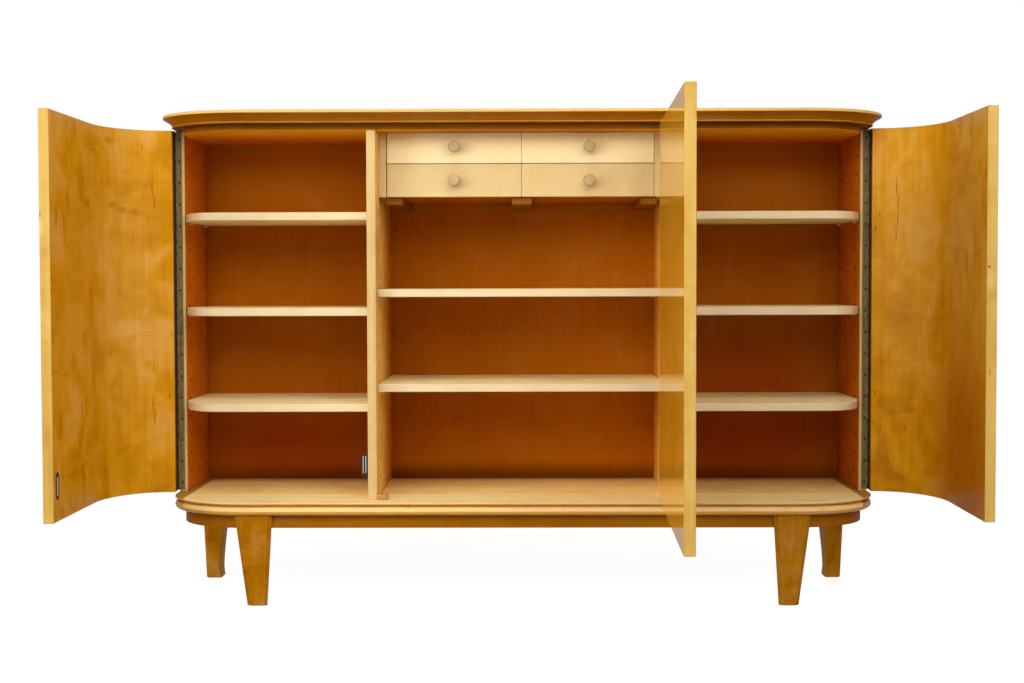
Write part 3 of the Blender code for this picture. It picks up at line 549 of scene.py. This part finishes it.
def carve(item, tool):
    """Cut one object's shape out of another, the cut faces keeping the tool's finish."""
    cut = item.modifiers.new("cut", "BOOLEAN")
    cut.operation = "DIFFERENCE"
    cut.solver = "EXACT"
    cut.object = tool
    cut.material_mode = "TRANSFER"


def merged(node):
    """A CAD node's shape as one joined skin, flat areas without inner edges."""
    shape = bmesh.new()
    shape.from_mesh(frame["nodes"][node].data)
    bmesh.ops.remove_doubles(shape, verts=shape.verts, dist=2e-5)
    bmesh.ops.dissolve_limit(
        shape, angle_limit=math.radians(0.4), verts=shape.verts, edges=shape.edges)
    return shape


def dress(node, keys, slot, choose=None, angle=38.0, holes=None, ease=(0.0, 0.0, 0.0, 0.0)):
    """Stand a smooth copy for a CAD node, each face with the finish that the rule picks, or the first.

    The copy may reach out a little to the left, right, below and above, to close a gap that shows.
    """
    shape = merged(node)
    low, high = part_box(node)
    for axis, less, more in ((X, *ease[:2]), (Z, *ease[2:])):
        gain = 1 + (less + more) / (high[axis] - low[axis])
        for vert in shape.verts:
            vert.co[axis] = low[axis] - less + (vert.co[axis] - low[axis]) * gain
    for face in shape.faces:
        face.smooth = True
        face.material_index = choose(face.normal, face.calc_center_median()) if choose else 0
    mesh = plain(node + "_finished", shape)
    for key in keys:
        mesh.materials.append(finish(key))
    mesh.set_sharp_from_angle(angle=math.radians(angle))
    item = placed("raw", mesh)
    if holes:
        carve(item, holes)
    even = item.modifiers.new("even shading", "WEIGHTED_NORMAL")
    even.keep_sharp = True
    final = settled(item)
    final.name = node + "_finished"
    bpy.data.objects.remove(item)
    piece(node + "_finished", final, frame["nodes"][node]["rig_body"], slot, node)


def paint(node, key):
    """Give a CAD node that keeps its own shape its finish."""
    data = frame["nodes"][node].data
    data.materials.clear()
    data.materials.append(finish(key))


def row_tree():
    """Rows along the height: each vertex starts a row, and each place in it holds one shape."""
    tree = bpy.data.node_groups.new("Rows along the height", "GeometryNodeTree")
    for name, kind, way in (
            ("Starts", "NodeSocketGeometry", "INPUT"), ("Shape", "NodeSocketObject", "INPUT"),
            ("Count", "NodeSocketInt", "INPUT"), ("Pitch", "NodeSocketFloat", "INPUT"),
            ("Spin", "NodeSocketFloat", "INPUT"), ("Seed", "NodeSocketInt", "INPUT"),
            ("Finish", "NodeSocketMaterial", "INPUT"), ("Row", "NodeSocketGeometry", "OUTPUT")):
        tree.interface.new_socket(name, in_out=way, socket_type=kind)
    given = add(tree, "NodeGroupInput").outputs
    step = add(tree, "ShaderNodeCombineXYZ", {}, {"Z": given["Pitch"]})
    line = add(tree, "GeometryNodeMeshLine", {"mode": "OFFSET"}, {
        "Count": given["Count"], "Start Location": (0.0, 0.0, 0.0), "Offset": step.outputs["Vector"]})
    rows = add(tree, "GeometryNodeInstanceOnPoints", {}, {
        "Points": given["Starts"], "Instance": line.outputs["Mesh"]})
    spots = add(tree, "GeometryNodeRealizeInstances", {}, {"Geometry": rows.outputs["Instances"]})
    shape = add(tree, "GeometryNodeObjectInfo", {}, {"Object": given["Shape"]})
    facing = add(tree, "GeometryNodeInputNamedAttribute", {"data_type": "FLOAT_VECTOR"}, {"Name": "facing"})
    turn = add(tree, "FunctionNodeEulerToRotation", {}, {"Euler": facing.outputs["Attribute"]})
    placed = add(tree, "GeometryNodeInstanceOnPoints", {}, {
        "Points": spots.outputs["Geometry"], "Instance": shape.outputs["Geometry"],
        "Rotation": turn.outputs["Rotation"]})
    chance = add(tree, "FunctionNodeRandomValue", {"data_type": "FLOAT"}, {
        "Min": 0.0, "Max": given["Spin"], "Seed": given["Seed"]})
    spin = add(tree, "ShaderNodeCombineXYZ", {}, {"Z": chance.outputs["Value"]})
    spun = add(tree, "GeometryNodeRotateInstances", {}, {
        "Instances": placed.outputs["Instances"], "Rotation": spin.outputs["Vector"]})
    real = add(tree, "GeometryNodeRealizeInstances", {}, {"Geometry": spun.outputs["Instances"]})
    done = add(tree, "GeometryNodeSetMaterial", {}, {
        "Geometry": real.outputs["Geometry"], "Material": given["Finish"]})
    add(tree, "NodeGroupOutput", {}, {"Row": done.outputs["Geometry"]})
    return tree


def rows(starts, shape, count, pitch, key, spin=0.0, seed=3):
    """A plain mesh of rows; starts are (place, facing) pairs, the facing as Euler angles."""
    tree = bpy.data.node_groups.get("Rows along the height") or row_tree()
    mesh = bpy.data.meshes.new("row_starts")
    mesh.from_pydata([place for place, facing in starts], [], [])
    turned = mesh.attributes.new("facing", "FLOAT_VECTOR", "POINT")
    turned.data.foreach_set("vector", [v for place, facing in starts for v in facing])
    item = placed("row_starts", mesh)
    maker = item.modifiers.new("rows", "NODES")
    maker.node_group = tree
    given = {s.name: s.identifier for s in tree.interface.items_tree if s.in_out == "INPUT"}
    maker[given["Shape"]] = shape
    maker[given["Count"]] = count
    maker[given["Pitch"]] = pitch
    maker[given["Spin"]] = spin
    maker[given["Seed"]] = seed
    maker[given["Finish"]] = finish(key)
    made = settled(item)
    bpy.data.objects.remove(item)
    return made


def lathe(name, profile, segments, tube=False):
    """Turned shape about Z from (radius, height) pairs: capped at its ends, or a tube back to the first."""
    shape = bmesh.new()
    rings = []
    for radius, height in profile:
        ring = []
        for i in range(segments):
            t = math.tau * i / segments
            ring.append(shape.verts.new((radius * math.cos(t), radius * math.sin(t), height)))
        rings.append(ring)
    for low, high in zip(rings, rings[1:] + (rings[:1] if tube else [])):
        for i in range(segments):
            k = (i + 1) % segments
            shape.faces.new((low[i], low[k], high[k], high[i]))
    if not tube:
        shape.faces.new(rings[0][::-1])
        shape.faces.new(rings[-1])
    bmesh.ops.recalc_face_normals(shape, faces=shape.faces)
    for face in shape.faces:
        face.smooth = len(face.verts) == 4
    mesh = plain(name, shape)
    mesh.set_sharp_from_angle(angle=math.radians(50))
    return placed(name, mesh)


def slab(shape, low, high, soft=0.0003):
    """Add a box with eased edges to a shape."""
    made = bmesh.ops.create_cube(shape, size=1.0)["verts"]
    size = [b - a for a, b in zip(low, high)]
    middle = [(a + b) / 2 for a, b in zip(low, high)]
    bmesh.ops.scale(shape, vec=size, verts=made)
    bmesh.ops.translate(shape, vec=middle, verts=made)
    edges = list({e for v in made for e in v.link_edges})
    faces = set(bmesh.ops.bevel(
        shape, geom=edges, offset=soft, segments=2, profile=0.5, affect="EDGES")["faces"])
    for face in faces | {f for v in made if v.is_valid for f in v.link_faces}:
        face.smooth = True


def joined(name, meshes):
    """Several plain meshes as one, each keeping its finish."""
    shape = bmesh.new()
    keys = []
    for mesh in meshes:
        before = len(shape.faces)
        shape.from_mesh(mesh)
        shape.faces.ensure_lookup_table()
        slots = list(mesh.materials)
        for face in shape.faces[before:]:
            mat = slots[min(face.material_index, len(slots) - 1)]
            if mat not in keys:
                keys.append(mat)
            face.material_index = keys.index(mat)
    made = plain(name, shape)
    for mat in keys:
        made.materials.append(mat)
    return made


def pin_holes(board, outward, depths, low, high):
    """Plugs that cut the rows of shelf-pin holes into one face of a board."""
    sizes = bpy.context.scene.sideboard_sizes
    corner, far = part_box(board)
    face = far.x if outward > 0 else corner.x
    plug = lathe("hole_plug", [(sizes.hole_width / 2, -0.007), (sizes.hole_width / 2, 0.001)], 10)
    facing = (0.0, math.radians(90 * outward), 0.0)
    starts = [((face, y, low), facing) for y in depths]
    count = int((high - low) / sizes.hole_pitch) + 1
    mesh = rows(starts, plug, count, sizes.hole_pitch, "hole")
    bpy.data.objects.remove(plug)
    return placed("hole_plugs", mesh)


def bored(board, keys, slot, choose, faces, depths, low, high):
    """Dress a board and bore its shelf-pin holes, from one face or both."""
    plugs = [pin_holes(board, outward, depths, low, high) for outward in faces]
    plugs[0].data = joined("hole_plugs", [p.data for p in plugs])
    dress(board, keys, slot, choose, holes=plugs[0])
    for plug in plugs:
        bpy.data.objects.remove(plug)


# Shelf-pin holes: how far behind a board's front edge and before the back they stand, and where a row ends
SIDE_HOLES, DIVIDER_HOLES, REAR_HOLES = 0.040, 0.080, 0.022
HOLES_LOW, HOLES_HIGH, HOLES_UNDER_DRAWERS = 0.285, 1.035, 0.900


class SIDEBOARD_OT_case(bpy.types.Operator):
    """Dress the sides, dividers, back, floor and inner top, and bore the shelf-pin holes"""
    bl_idname = "sideboard.case"
    bl_label = "Case boards"

    def execute(self, context):
        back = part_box("back_panel")[0].y
        for name, sign in (("left", -1), ("right", 1)):
            def of_side(n, c, sign=sign):
                return 1 if n.y < -0.7 else (2 if n.x * sign > 0.7 or n.y > 0.7 else 0)

            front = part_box("side_" + name)[0].y
            bored("side_" + name, ("inside side", "upright edge", "outside"), "birch_lacquered", of_side,
                  (-sign,), (front + SIDE_HOLES, back - REAR_HOLES), HOLES_LOW, HOLES_HIGH)

            def of_divider(n, c):
                return 1 if n.y < -0.7 else 0

            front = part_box("divider_" + name)[0].y
            bored("divider_" + name, ("inside divider", "upright edge"), "birch_pale", of_divider,
                  (-1, 1), (front + DIVIDER_HOLES, back - REAR_HOLES), HOLES_LOW, HOLES_UNDER_DRAWERS)
        dress("back_panel", ("back", "bare"), "birch_shaded", lambda n, c: 1 if n.y > 0.7 else 0,
              ease=(0.0, 0.0, 0.004, 0.0))
        dress("floor_panel", ("floor face",), "birch_lacquered")
        # The inner top's faces other than its under face take the shaded band finish, painted shade.
        dress("carcass_top", ("ceiling", "band long"), "birch_shaded", lambda n, c: 0 if n.z < -0.7 else 1)
        dress("hinge_stile", ("outside",), "birch_lacquered")
        return {"FINISHED"}


# Heights of the painted highlights: the bead along the top board's lower edge, the rim along its upper one
BEAD_TALL, RIM_TALL = 0.0038, 0.006


class SIDEBOARD_OT_mouldings(bpy.types.Operator):
    """Dress the moulded top, the bottom rail and the apron"""
    bl_idname = "sideboard.mouldings"
    bl_label = "Mouldings"

    def execute(self, context):
        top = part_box("top_board")[1].z
        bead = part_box("top_board")[0].z + BEAD_TALL

        # The rim and the bead take paler finishes, painted highlights.
        def of_top(n, c):
            if n.z > 0.95:
                return 2
            if c.z > top - RIM_TALL:
                return 3
            return 1 if c.z < bead and n.z > -0.9 else 0

        keys = ("moulding long", "bead long", "top face", "rim long")
        dress("top_board", keys, "birch_lacquered", of_top, 32.0)
        ways = {"front": "long", "left": "deep", "right": "deep"}
        for name, way in ways.items():
            dress("apron_" + name, ("apron " + way,), "birch_lacquered", angle=32.0)

        # Round faces that face upward take the crest finish, a painted highlight on the long rail.
        def of_rail(n, c):
            return 1 if n.z > 0.95 else (2 if n.z > 0.12 else 0)

        for name, way in ways.items():
            keys = ("rail " + way, "strip " + way, "crest " + way)
            dress("bottom_rail_" + name, keys, "birch_lacquered", of_rail, 32.0)
        return {"FINISHED"}


class SIDEBOARD_OT_legs(bpy.types.Operator):
    """Dress the four tapered legs"""
    bl_idname = "sideboard.legs"
    bl_label = "Legs"

    def execute(self, context):
        for place in ("front_left", "front_right", "rear_left", "rear_right"):
            end = place.split("_")[0]
            dress("leg_" + place, ("leg " + end,), "birch_lacquered", angle=22.0)
        return {"FINISHED"}


# The gap between a shelf's end and the board beside it
SHELF_GAP = 0.0003


class SIDEBOARD_OT_shelves(bpy.types.Operator):
    """Dress the loose shelves and set the pins under them"""
    bl_idname = "sideboard.shelves"
    bl_label = "Shelves and pins"

    def execute(self, context):
        sizes = context.scene.sideboard_sizes
        reach = sizes.pin_reach
        thick, soft = 0.0024, 0.0005
        pin = lathe("pin", [(thick, -0.002), (thick, reach - soft - 0.0001), (thick - soft, reach)], 12)
        starts = []
        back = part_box("back_panel")[0].y
        for node in sorted(n for n in frame["nodes"] if n.startswith("shelf_")):
            dress(node, ("shelf face", "long edge"), "birch_pale",
                  lambda n, c: 1 if abs(n.z) < 0.75 else 0, 32.0)
            low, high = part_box(node)
            bay = node.split("_")[1]
            for wall, facing in ((low.x - SHELF_GAP, 1), (high.x + SHELF_GAP, -1)):
                outer = (bay == "left" and facing > 0) or (bay == "right" and facing < 0)
                board = "side_" + bay if outer else ("divider_left" if wall < 0 else "divider_right")
                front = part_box(board)[0].y + (SIDE_HOLES if outer else DIVIDER_HOLES)
                for depth in (front, back - REAR_HOLES):
                    place = (wall, depth, low.z - thick - 0.0002)
                    starts.append((place, (0.0, math.radians(90 * facing), 0.0)))
        mesh = rows(starts, pin, 1, 0.0, "bright steel")
        bpy.data.objects.remove(pin)
        piece("shelf_pins", mesh, "cabinet", "dark_steel")
        return {"FINISHED"}


class SIDEBOARD_OT_doors(bpy.types.Operator):
    """Dress the two bowed doors and the flat middle door"""
    bl_idname = "sideboard.doors"
    bl_label = "Doors"

    def execute(self, context):
        for name, outward in (("left", -1), ("right", 1), ("middle", 1)):
            node = "door_" + name
            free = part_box(node)[0].y + 0.004

            def of_door(n, c, free=free, outward=outward):
                if abs(n.z) > 0.6 or (n.y < -0.6 and c.y < free):
                    return 1
                return 2 if n.y + outward * n.x > 0.3 else 0

            keys = ("door veneer " + name, "door edge", "door veneer outer")
            dress(node, keys, "birch_lacquered", of_door, 32.0)
        return {"FINISHED"}


# Hinge sizes: a knuckle's outer and inner radius, its eased edge and the gap to the next, the pin's radius,
# how far from the axis a plate starts, and how far it reaches above the CAD leaf
BARREL, BORE, EASED, KNUCKLE_GAP = 0.0021, 0.0016, 0.0003, 0.0002
PIN = 0.0014
PLATE_START = 0.00215
PLATE_ABOVE = {"fixed": 0.0040, "moving": 0.0023}
# Screws: height of the lowest over the plate's end, and the place across as a share of the plate's width
FIRST_SCREW, SCREW_ACROSS = 0.0165, 0.58


class SIDEBOARD_OT_hinges(bpy.types.Operator):
    """Make the piano hinges: leaves, knuckles on both bodies and screws"""
    bl_idname = "sideboard.hinges"
    bl_label = "Piano hinges"

    def execute(self, context):
        sizes = context.scene.sideboard_sizes
        head, sink = self.screw(sizes.screw_head / 2)
        pivots = {j["child"]: Vector(j["pos_m"]) for j in frame["joints"] if j["type"] == "hinge"}
        for name in ("left", "right", "middle"):
            pivot = pivots[name + "_door"]
            for kind, body, turn in (("fixed", "cabinet", 0), ("moving", name + "_door", 1)):
                node = "hinge_" + kind + "_" + name
                low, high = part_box(node)
                a, b, flat, thin = self.plate(node, kind, low, high, pivot)
                curl = self.knuckle(a - pivot, b - pivot, flat, thin, sizes.knuckle - KNUCKLE_GAP)
                start = low.z + turn * sizes.knuckle
                count = int((high.z - start) / (2 * sizes.knuckle) + 0.55)
                parts = [rows([((pivot.x, pivot.y, start), (0.0, 0.0, 0.0))], curl, count,
                              2 * sizes.knuckle, "shaded steel")]
                bpy.data.objects.remove(curl)
                if kind == "fixed":
                    rod = lathe("hinge_pin", [(PIN, low.z + 0.0005), (PIN, b.z)], 12)
                    axis = [((pivot.x, pivot.y, 0.0), (0.0, 0.0, 0.0))]
                    parts.append(rows(axis, rod, 1, 0.0, "shaded steel"))
                    bpy.data.objects.remove(rod)
                parts += self.leaf(kind, a, b, flat, thin, pivot, head, sink, sizes)
                piece(node + "_made", joined(node + "_made", parts), body, "dark_steel", node)
        bpy.data.objects.remove(head)
        bpy.data.objects.remove(sink)
        return {"FINISHED"}

    def screw(self, radius):
        """A slotted head that sits flush, and the countersink that it sits in."""
        deep, slope, play = 0.0008, 0.0013, 0.0001
        head = lathe("screw_head", [(radius - slope - play, -deep), (radius - play, -0.00003)], 14)
        shape = bmesh.new()
        bmesh.ops.create_cube(shape, size=1.0)
        long, wide = 0.012, 0.0008
        bmesh.ops.scale(shape, vec=(long, wide, wide), verts=shape.verts)
        slit = placed("screw_slot", plain("screw_slot", shape))
        carve(head, slit)
        head.data = settled(head)
        bpy.data.objects.remove(slit)
        sink = lathe("countersink", [(radius - slope, -deep - 0.00005), (radius, 0.0), (radius, 0.0005)], 14)
        return head, sink

    def plate(self, node, kind, low, high, pivot):
        """Corners of a leaf's plate, clear of the other leaf's knuckles, and its broad and its thin axis."""
        flat = X if high.x - low.x > high.y - low.y else Y
        thin = 1 - flat
        past_barrel = 0.012
        a, b = Vector(low), Vector(high)
        b.z += PLATE_ABOVE[kind]
        if kind == "fixed":
            shape = merged(node)
            edge = [v.co[thin] for v in shape.verts if abs(v.co[flat] - pivot[flat]) > past_barrel]
            shape.free()
            a[thin], b[thin] = min(edge), max(edge)
        if abs(high[flat] - pivot[flat]) > abs(low[flat] - pivot[flat]):
            a[flat] = pivot[flat] + PLATE_START
        else:
            b[flat] = pivot[flat] - PLATE_START
        return a, b, flat, thin

    def knuckle(self, a, b, flat, thin, tall):
        """One rolled knuckle on the hinge's axis, with the tab that joins it to its plate."""
        item = lathe("knuckle", [
            (BORE, 0.0), (BARREL - EASED, 0.0), (BARREL, EASED), (BARREL, tall - EASED),
            (BARREL - EASED, tall), (BORE, tall)], 16, tube=True)
        low, high = Vector((0.0, 0.0, EASED)), Vector((0.0, 0.0, tall - EASED))
        reach, lap = 0.0005, 0.0004
        ends = (a[flat] - reach, a[flat] + lap) if a[flat] > 0.0 else (b[flat] - lap, b[flat] + reach)
        low[flat], high[flat] = ends
        low[thin], high[thin] = a[thin] + 0.0001, b[thin] - 0.0001
        shape = bmesh.new()
        shape.from_mesh(item.data)
        slab(shape, low, high, 0.00005)
        shape.to_mesh(item.data)
        shape.free()
        return item

    def leaf(self, kind, a, b, flat, thin, pivot, head, sink, sizes):
        """One leaf's plate with its countersunk screws."""
        shape = bmesh.new()
        slab(shape, a, b, 0.00015)
        mesh = plain("leaf", shape)
        # The moving leaf takes the darker steel, painted shade.
        mesh.materials.append(finish("hinge steel" if kind == "fixed" else "shaded steel"))
        # The side of the leaf that shows is the one towards the hinge's axis.
        shown = b[thin] if abs(b[thin] - pivot[thin]) < abs(a[thin] - pivot[thin]) else a[thin]
        sign = 1 if shown == b[thin] else -1
        place = Vector((0.0, 0.0, a.z + FIRST_SCREW))
        place[flat] = a[flat] * (1 - SCREW_ACROSS) + b[flat] * SCREW_ACROSS
        place[thin] = shown
        facing = (math.radians(-90 * sign), 0.0, 0.0) if thin == Y else (0.0, math.radians(90 * sign), 0.0)
        count = int((b.z - a.z - 0.02) / sizes.screw_pitch) + 1
        plate = placed("leaf", mesh)
        sinks = placed("sinks", rows([(place, facing)], sink, count, sizes.screw_pitch, "shaded steel"))
        carve(plate, sinks)
        bored_plate = settled(plate)
        bpy.data.objects.remove(plate)
        bpy.data.objects.remove(sinks)
        screws = rows([(place, facing)], head, count, sizes.screw_pitch, "screw steel", math.pi, 5)
        return [bored_plate, screws]


class SIDEBOARD_OT_drawers(bpy.types.Operator):
    """Dress the four drawers, their knobs and the frame they run in"""
    bl_idname = "sideboard.drawers"
    bl_label = "Drawers"

    def execute(self, context):
        for row in ("upper", "lower"):
            for side in ("left", "right"):
                name = row + "_" + side
                # Each front reaches out a little, so that the gaps round it are as fine as the photo's.
                inner, outer, high = 0.0006, 0.0010, 0.0009
                sides = (outer, inner) if side == "left" else (inner, outer)
                ease = (*sides, high, 0.0) if row == "upper" else (*sides, 0.0, high)
                veneer = "drawer " + row + " " + side
                dress("drawer_front_" + name, (veneer,), "birch_pale", ease=ease)
                # Front faces take the paler knob face finish, painted light.
                dress("drawer_knob_" + name, ("knob", "knob face"), "knob_wood",
                      lambda n, c: 1 if n.y < -0.85 else 0, 50.0)
                # The trays' under faces take the back's darker finish, painted shade under the drawers.
                dress("drawer_tray_" + name, ("bare", "back"), "birch_pale",
                      lambda n, c: 1 if n.z < -0.7 else 0)
        for node in ("drawer_filler_left", "drawer_filler_right"):
            paint(node, "drawer lower left")
        for node in ("partition", "runner_left", "runner_middle", "runner_right"):
            paint("drawer_" + node, "runner")
        return {"FINISHED"}


class SIDEBOARD_OT_fittings(bpy.types.Operator):
    """Make the magnetic catch, its striker and the door stop"""
    bl_idname = "sideboard.fittings"
    bl_label = "Catch, striker and stop"

    def execute(self, context):
        dress("door_stop", ("stop",), "birch_pale")
        dress("magnetic_catch", ("catch housing",), "catch_plastic")
        low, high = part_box("magnetic_catch")
        shape = bmesh.new()
        wide, inset = 0.0020, 0.0038
        for x in (low.x + inset, high.x - inset - wide):
            slab(shape, (x, low.y - 0.0010, low.z + 0.0125), (x + wide, low.y + 0.004, high.z - 0.0055))
        self.strips("catch_strips", shape, "cabinet")
        dress("striker_plate", ("catch housing",), "dark_steel")
        low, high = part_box("striker_plate")
        shape = bmesh.new()
        slab(shape, (high.x - 0.0010, low.y + 0.0035, low.z + 0.008),
             (high.x + 0.0003, high.y - 0.0075, high.z - 0.010))
        self.strips("striker_strip", shape, "left_door")
        return {"FINISHED"}

    def strips(self, name, shape, body):
        mesh = plain(name, shape)
        mesh.materials.append(finish("bright steel"))
        piece(name, mesh, body, "dark_steel")


# Each soft lamp: where it stands, what it is aimed at, its width and height
LAMPS = {
    "key": ((-1.4, -3.1, 2.3), (0.0, 0.1, 0.6), (2.4, 1.6)),
    "second": ((1.4, -3.1, 2.3), (0.0, 0.1, 0.6), (2.4, 1.6)),
    "top": ((0.0, -1.9, 3.3), (0.0, 0.1, 0.6), (3.0, 1.0)),
    "left": ((-3.3, -2.2, 1.4), (0.2, 0.1, 0.6), (1.6, 2.0)),
    "right": ((3.3, -2.2, 1.4), (-0.2, 0.1, 0.6), (1.6, 2.0)),
    "rear": ((0.6, 3.4, 2.3), (0.0, 0.3, 0.6), (2.4, 1.6)),
}


class SIDEBOARD_OT_stage(bpy.types.Operator):
    """Set the pale floor, the white surroundings, the soft lamps and the camera"""
    bl_idname = "sideboard.stage"
    bl_label = "Stage"

    def execute(self, context):
        scene = context.scene
        settings = scene.sideboard_stage
        scene.view_settings.view_transform = "Standard"
        self.floor()
        self.surroundings(settings.sky_level)
        for name, (at, to, size) in LAMPS.items():
            self.lamp(name, at, to, size, getattr(settings, name + "_power"))
        self.camera(scene)
        return {"FINISHED"}

    def floor(self):
        mat, tree = blank("paper_pale_floor")
        # Seamless paper, matt: white to the camera, with the soft shadow left on it near the legs
        place = add(tree, "ShaderNodeTexCoord").outputs["Object"]
        path = add(tree, "ShaderNodeLightPath").outputs
        reach = add(tree, "ShaderNodeVectorMath", {"operation": "LENGTH"}, {0: place})
        fade = add(tree, "ShaderNodeMapRange", {"interpolation_type": "SMOOTHSTEP"}, {
            "Value": reach.outputs["Value"], "From Min": 1.1, "From Max": 2.6,
            "To Min": 0.0, "To Max": 1.0})
        seen = add(tree, "ShaderNodeMath", {"operation": "MAXIMUM"}, {
            0: path["Is Camera Ray"], 1: path["Is Transmission Ray"]})
        deep = add(tree, "ShaderNodeSeparateXYZ", {}, {0: place})
        mirrored = add(tree, "ShaderNodeMapRange", {"interpolation_type": "SMOOTHSTEP"}, {
            "Value": deep.outputs["Y"], "From Min": -0.7, "From Max": 0.4, "To Min": 0.15, "To Max": 0.34})
        matt = add(tree, "ShaderNodeBsdfDiffuse", {}, {"Color": (0.45, 0.45, 0.45, 1.0)})
        faint = add(tree, "ShaderNodeBsdfDiffuse", {}, {"Color": (0.28, 0.28, 0.28, 1.0)})
        glow = add(tree, "ShaderNodeEmission", {}, {"Strength": 0.86})
        white = add(tree, "ShaderNodeEmission", {}, {"Strength": 1.0})
        gloss = add(tree, "ShaderNodeEmission", {}, {"Strength": mirrored.outputs["Result"]})
        near = add(tree, "ShaderNodeAddShader", {}, {0: faint.outputs["BSDF"], 1: glow.outputs["Emission"]})
        ground = add(tree, "ShaderNodeMixShader", {}, {
            0: fade.outputs["Result"], 1: near.outputs["Shader"], 2: white.outputs["Emission"]})
        both = add(tree, "ShaderNodeMixShader", {}, {
            0: seen.outputs[0], 1: matt.outputs["BSDF"], 2: ground.outputs["Shader"]})
        done = add(tree, "ShaderNodeMixShader", {}, {
            0: path["Is Glossy Ray"], 1: both.outputs["Shader"], 2: gloss.outputs["Emission"]})
        add(tree, "ShaderNodeOutputMaterial", {}, {"Surface": done.outputs["Shader"]})
        shape = bmesh.new()
        bmesh.ops.create_grid(shape, x_segments=8, y_segments=8, size=9.0)
        mesh = plain("floor", shape)
        mesh.materials.append(mat)
        item = placed("floor", mesh)

    def surroundings(self, level):
        world = bpy.data.worlds.new("white_surroundings")
        world.use_nodes = True
        tree = world.node_tree
        tree.nodes.clear()
        path = add(tree, "ShaderNodeLightPath").outputs
        seen = add(tree, "ShaderNodeMath", {"operation": "MAXIMUM"}, {
            0: path["Is Camera Ray"], 1: path["Is Transmission Ray"]})
        # Reflections show the white backdrop behind the piece and a dim room behind the camera.
        way = add(tree, "ShaderNodeTexCoord").outputs["Generated"]
        deep = add(tree, "ShaderNodeSeparateXYZ", {}, {0: way})
        mirrored = add(tree, "ShaderNodeMapRange", {"interpolation_type": "SMOOTHSTEP"}, {
            "Value": deep.outputs["Y"], "From Min": -0.35, "From Max": 0.25,
            "To Min": 0.12, "To Max": 0.34})
        white, soft, room = (
            add(tree, "ShaderNodeBackground", {}, {"Color": (1.0, 1.0, 1.0, 1.0), "Strength": strength})
            for strength in (1.0, level, mirrored.outputs["Result"]))
        both = add(tree, "ShaderNodeMixShader", {}, {
            0: seen.outputs[0], 1: soft.outputs["Background"], 2: white.outputs["Background"]})
        done = add(tree, "ShaderNodeMixShader", {}, {
            0: path["Is Glossy Ray"], 1: both.outputs["Shader"], 2: room.outputs["Background"]})
        add(tree, "ShaderNodeOutputWorld", {}, {"Surface": done.outputs["Shader"]})
        bpy.context.scene.world = world

    def lamp(self, name, at, to, size, power):
        light = bpy.data.lights.new(name, "AREA")
        light.shape = "RECTANGLE"
        light.size, light.size_y = size
        light.energy = power
        item = placed(name, light)
        aim = (Vector(to) - Vector(at)).to_track_quat("-Z", "Y")
        item.matrix_world = Matrix.Translation(at) @ aim.to_matrix().to_4x4()
        item.visible_glossy = False

    def camera(self, scene):
        place = Vector((0.0104, -3.1052, 0.7328))
        pitch, yaw, roll = 0.034886, -0.008881, -0.0025467
        ahead = Vector((math.sin(yaw) * math.cos(pitch), math.cos(yaw) * math.cos(pitch), -math.sin(pitch)))
        right = Vector((math.cos(yaw), -math.sin(yaw), 0.0))
        up = right.cross(ahead)
        across = right * math.cos(roll) + up * math.sin(roll)
        upright = up * math.cos(roll) - right * math.sin(roll)
        turn = Matrix((across, upright, -ahead)).transposed()
        data = bpy.data.cameras.new("camera")
        data.sensor_width = 36.0
        data.sensor_fit = "HORIZONTAL"
        data.lens = 51.29
        data.shift_y = -0.0094
        data.clip_end = 60.0
        item = placed("camera", data)
        item.matrix_world = Matrix.Translation(place) @ turn.to_4x4()
        scene.camera = item


STEPS = (
    SIDEBOARD_OT_case, SIDEBOARD_OT_mouldings, SIDEBOARD_OT_legs, SIDEBOARD_OT_shelves, SIDEBOARD_OT_doors,
    SIDEBOARD_OT_hinges, SIDEBOARD_OT_drawers, SIDEBOARD_OT_fittings, SIDEBOARD_OT_stage,
)


class SIDEBOARD_PT_panel(bpy.types.Panel):
    """Lists the sideboard's steps and settings"""
    bl_idname = "SIDEBOARD_PT_panel"
    bl_label = "Sideboard"
    bl_space_type = "VIEW_3D"
    bl_region_type = "UI"
    bl_category = "Sideboard"

    def draw(self, context):
        for group in ("sideboard_colours", "sideboard_sizes", "sideboard_stage"):
            settings = getattr(context.scene, group)
            box = self.layout.box()
            for name in settings.__annotations__:
                box.prop(settings, name)
        for step in STEPS:
            self.layout.operator(step.bl_idname)


GROUPS = {
    "sideboard_colours": SideboardColours,
    "sideboard_sizes": SideboardSizes,
    "sideboard_stage": SideboardStage,
}


def register():
    for name, group in GROUPS.items():
        bpy.utils.register_class(group)
        setattr(bpy.types.Scene, name, bpy.props.PointerProperty(type=group))
    for item in (*STEPS, SIDEBOARD_PT_panel):
        bpy.utils.register_class(item)


def unregister():
    for item in (SIDEBOARD_PT_panel, *reversed(STEPS)):
        bpy.utils.unregister_class(item)
    for name, group in GROUPS.items():
        delattr(bpy.types.Scene, name)
        bpy.utils.unregister_class(group)


def main():
    register()
    bpy.ops.sideboard.case()
    bpy.ops.sideboard.mouldings()
    bpy.ops.sideboard.legs()
    bpy.ops.sideboard.shelves()
    bpy.ops.sideboard.doors()
    bpy.ops.sideboard.hinges()
    bpy.ops.sideboard.drawers()
    bpy.ops.sideboard.fittings()
    bpy.ops.sideboard.stage()
    bpy.context.view_layer.update()


if __name__ == "__main__":
    main()
